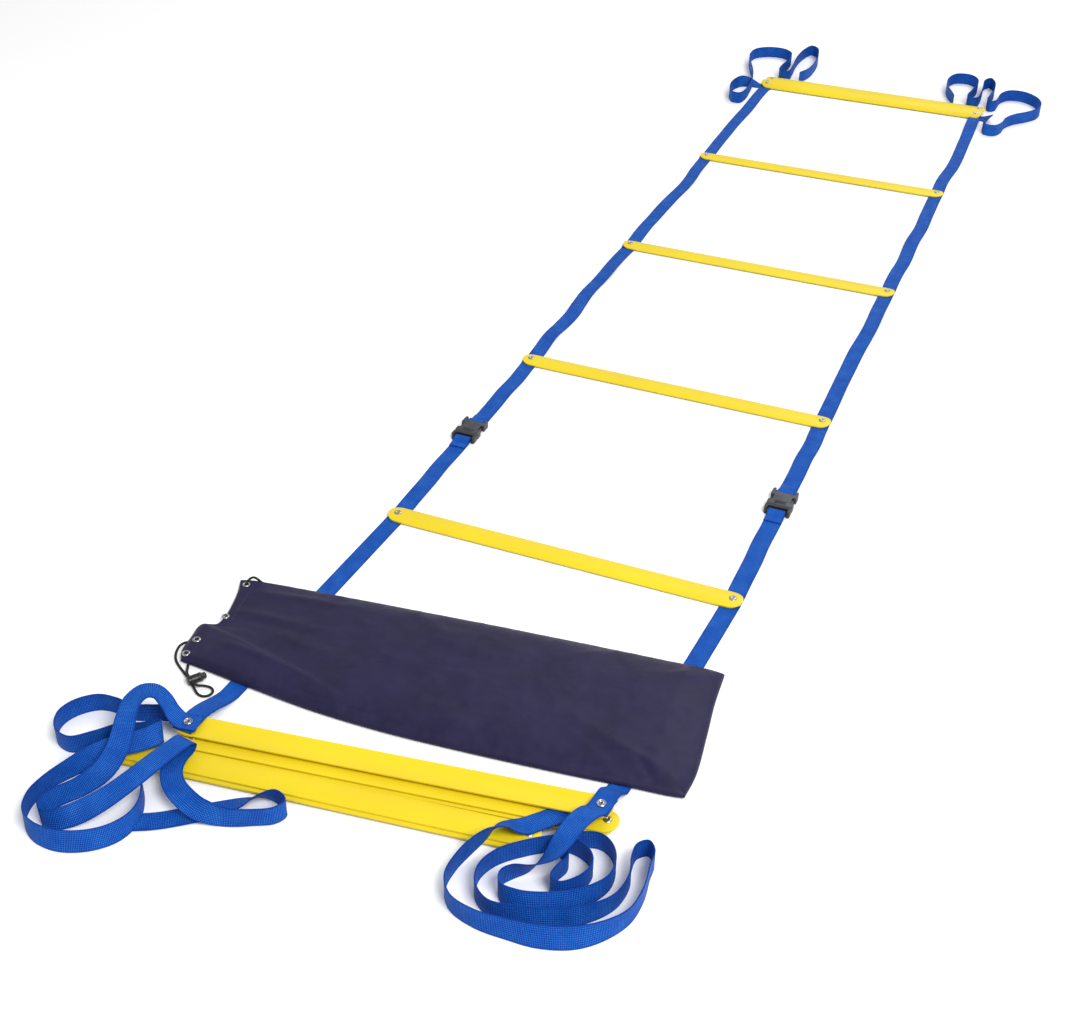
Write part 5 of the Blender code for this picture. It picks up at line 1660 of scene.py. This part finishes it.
    def build(self) -> None:
        """Lay the bag, its eyelets and the stitching of its mouth hem."""
        place = self.matrix()
        self.shop.piece("bag_shell", moved(self.shell(), place), Slot.BAG, ("bag",), smooth=55.0)
        profile = [
            (2.2, 0.35), (2.35, 0.85), (2.9, 1.15), (3.5, 1.05), (4.1, 0.7), (4.3, 0.25), (4.3, -0.3),
            (2.2, -0.6), (2.2, 0.35),
        ]
        for index, (x, y) in enumerate(self.eyelets):
            spot = Matrix.Translation((x * self.length, y * self.width, self.lift + self.top_at(x, y)))
            ring = moved(turned(profile, self.eyelet_sides), place @ spot)
            self.shop.piece(f"eyelet_{index + 1}_rolled", ring, Slot.EYELET, (f"eyelet_{index + 1}",))
        self.hem_stitches(place)

    def top_at(self, x: float, y: float) -> float:
        """Find how high the cloth stands at one place.

        Args:
            x: The place along the bag, in shares of its length.
            y: The place across it, in shares of its width.

        Returns:
            The cloth's height over its lift.
        """
        spot = np.array([[x * self.length, y * self.width]])
        mouth = self.edge_points(self.mouth_share, self.edge_count)
        edges = (self.near_share, self.far_share)
        sides = np.vstack([self.edge_points(edge, self.edge_count) for edge in edges])
        from_mouth = np.array([np.min(np.linalg.norm(mouth - spot, axis=1))])
        inward = np.array([np.min(np.linalg.norm(sides - spot, axis=1))])
        return float(self.height(spot, inward, from_mouth)[0])

    def hem_stitches(self, place: Matrix) -> None:
        """Sew the hem of the bag's mouth.

        Args:
            place: The bag's place.
        """
        stitches = []
        for index in range(self.stitches):
            y = self.stitch_start + index * self.stitch_pitch
            x = self.stitch_line - self.stitch_slant * max(0.0, (y - self.slant_start) / self.slant_run)
            ends = []
            for shift in (-self.stitch_half, self.stitch_half):
                height = self.lift + self.top_at(x, y + shift) + self.thread_lift
                ends.append(place @ Vector((x * self.length, (y + shift) * self.width, height)))
            stitches.append(tuple(ends))
        self.shop.piece(
            "bag_hem_stitching", capsules(stitches, self.thread), Slot.BAG,
            body=self.shop.body_of("bag"), finish=self.shop.navy_thread,
        )


@dataclass
class DrawCord:
    """The draw cord with its spring lock, and the small loop at the far eyelet."""

    shop: Workshop
    bag: Bag
    radius: float = 1.3 * MM
    inset: float = 35.5 * MM
    outset: float = 17.0 * MM
    yaw: float = 55.0
    level: float = 4.9 * MM
    sides: int = 14
    barrel_sides: int = 40
    button_sides: int = 36

    def lock_place(self) -> Matrix:
        """Work out where the lock lies.

        Returns:
            Its place, with the barrel along Z.
        """
        bag = self.bag
        spot = (bag.x - bag.length / 2 + self.inset, bag.y - bag.width / 2 - self.outset, self.level)
        turn = rotated(self.yaw, "Z") @ rotated(90.0, "Y")
        return bag.ladder.matrix() @ Matrix.Translation(spot) @ turn

    def tube(
        self, name: str, path: np.ndarray, stands_for: tuple[str, ...] = (),
        carries: tuple[bpy.types.Object, ...] = (),
    ) -> None:
        """Lay one length of cord.

        Args:
            name: The piece's name.
            path: The points that it follows.
            stands_for: CAD nodes that it replaces.
            carries: The pieces on it; not used.
        """
        circle = [math.tau * part / self.sides for part in range(self.sides)]
        section = [(self.radius * math.cos(turn), self.radius * math.sin(turn)) for turn in circle]
        shape = swept(path, np.tile((0.0, 0.0, 1.0), (len(path), 1)), section)
        made = self.shop.piece(name, shape, Slot.CORD, stands_for, body=self.shop.body_of("draw_cord"))

    def build(self) -> None:
        """Lay the cord and its lock."""
        place = self.lock_place()
        lock = place.translation
        rows = np.array([
            (lock.x + (x - CORD_ANCHOR[0]) * CM, lock.y + (y - CORD_ANCHOR[1]) * CM, z * CM)
            for x, y, z in CORD_ROUTE
        ])
        self.tube("draw_cord_braided", smooth_rows(rows, 1.0 * MM), ("draw_cord",), self.lock(place))
        self.loop()

    def loop(self) -> None:
        """Arch a short length of cord from the far eyelet over to the bag's far edge."""
        bag = self.bag
        x, y = bag.eyelets[0]
        start = Vector((x * bag.length, y * bag.width, bag.lift + bag.top_at(x, y) + 0.9 * MM))
        points = [
            (-3.0, -5.0, -2.9), (-1.6, -2.8, -1.9), (-0.2, -0.4, 0.3), (1.4, 2.2, 3.2), (3.2, 5.2, 4.9),
            (5.4, 8.0, 4.4), (7.8, 9.9, 2.0), (10.6, 10.6, -0.8), (14.0, 10.2, -2.5), (18.0, 8.8, -2.9),
        ]
        rows = np.array([tuple(bag.matrix() @ (start + Vector(point) * MM)) for point in points])
        self.tube("draw_cord_loop", smooth_rows(rows, 0.8 * MM))

    def lock(self, place: Matrix) -> tuple[bpy.types.Object, bpy.types.Object]:
        """Turn the lock's ribbed barrel and its button.

        Args:
            place: The lock's place.

        Returns:
            The barrel and the button.
        """
        barrel = [
            (0.0, 0.0), (3.6, 0.0), (4.3, 0.35), (4.6, 1.0), (4.6, 2.6), (4.2, 2.9), (4.2, 3.5), (4.6, 3.8),
            (4.6, 10.4), (4.2, 10.7), (4.2, 11.3), (4.6, 11.6), (4.6, 14.6), (4.3, 15.0), (3.9, 15.0),
            (3.7, 14.8), (3.7, 5.0), (0.0, 5.0),
        ]
        button = [
            (0.0, 9.0), (3.2, 9.0), (3.4, 9.2), (3.4, 17.9), (3.2, 18.6), (2.7, 19.2), (2.1, 19.5),
            (1.4, 19.35), (0.0, 19.2),
        ]
        return tuple(
            self.shop.piece(f"{node}_moulded", moved(turned(profile, sides), place), Slot.LOCK, (node,))
            for node, profile, sides in (
                ("lock_barrel", barrel, self.barrel_sides), ("lock_button", button, self.button_sides),
            )
        )


@dataclass
class Studio:
    """The white sweep, the soft lights and the camera of the photograph."""

    place: tuple = (0.5003, -1.8790, 1.0071)
    yaw: float = -21.888
    pitch: float = 34.877
    roll: float = 0.978
    lens: float = 50.568
    sensor: float = 36.0
    floor_half: float = 9.0
    sky_strength: float = 0.66
    lights: tuple = (
        ("key_softbox", (1.9, -2.0, 2.7), (0.0, -0.2, 0.0), 1.5, 105.0),
        ("back_softbox", (0.6, 2.6, 3.0), (0.0, 0.8, 0.0), 2.2, 50.0),
    )

    def build(self) -> None:
        """Set the camera, the floor, the sky and the lights."""
        self.camera()
        self.floor()
        self.sky()
        for row in self.lights:
            self.light(*row)
        bpy.context.scene.view_settings.view_transform = "Standard"

    def camera(self) -> None:
        """Stand the camera where the photograph was taken."""
        yaw, pitch, roll = (math.radians(part) for part in (self.yaw, self.pitch, self.roll))
        ahead = Vector((math.sin(yaw) * math.cos(pitch), math.cos(yaw) * math.cos(pitch), -math.sin(pitch)))
        level = Vector((math.cos(yaw), -math.sin(yaw), 0.0))
        above = level.cross(ahead)
        right = level * math.cos(roll) + above * math.sin(roll)
        up = above * math.cos(roll) - level * math.sin(roll)
        data = bpy.data.cameras.new("camera")
        data.sensor_fit = "HORIZONTAL"
        data.sensor_width = self.sensor
        data.lens = self.lens
        made = shown("camera", data)
        turn = Matrix((right, up, -ahead)).transposed().to_4x4()
        made.matrix_world = Matrix.Translation(self.place) @ turn
        bpy.context.scene.camera = made

    def floor(self) -> None:
        """Lay the white floor."""
        bm = bmesh.new()
        bmesh.ops.create_grid(bm, x_segments=1, y_segments=1, size=self.floor_half)
        mesh = bpy.data.meshes.new("floor")
        bm.to_mesh(mesh)
        bm.free()
        sheet = Sheet("white_sweep", {"Specular IOR Level": 0.1})
        haze = sheet.clouds(sheet.place(), 1.3)
        colour = sheet.blend(haze, (0.945, 0.945, 0.948), (0.960, 0.960, 0.957))
        mesh.materials.append(sheet.dressed(colour, 0.75 + haze * 0.1))
        made = shown("floor", mesh)

    def sky(self) -> None:
        """Light the scene evenly from all round."""
        world = bpy.data.worlds.new("studio")
        world.use_nodes = True
        inputs = world.node_tree.nodes["Background"].inputs
        inputs["Color"].default_value = (1.0, 1.0, 1.0, 1.0)
        inputs["Strength"].default_value = self.sky_strength
        bpy.context.scene.world = world

    def light(self, name: str, place: tuple, target: tuple, size: float, power: float) -> None:
        """Hang one soft area light.

        Args:
            name: The light's name.
            place: Where it hangs.
            target: The point that it faces.
            size: The length of its sides.
            power: Its power in watts.
        """
        data = bpy.data.lights.new(name, "AREA")
        data.shape = "SQUARE"
        data.size = size
        data.energy = power
        made = shown(name, data)
        made.location = place
        made.rotation_euler = (Vector(target) - Vector(place)).to_track_quat("-Z", "Y").to_euler()


def main() -> None:
    """Build the ladder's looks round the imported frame."""
    logging.basicConfig(level=logging.INFO, format="%(name)s %(message)s")
    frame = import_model()
    shop = Workshop(frame)
    ladder = Ladder.from_frame()
    web = Webbing()
    Studio().build()
    rungs = Rungs(shop, ladder, web)
    rungs.build()
    Rivets(shop, ladder, rungs).build()
    Straps(shop, ladder, web, rungs).build()
    Buckles(shop).build()
    bag = Bag(shop, ladder)
    bag.build()
    DrawCord(shop, bag).build()


if __name__ == "__main__":
    main()
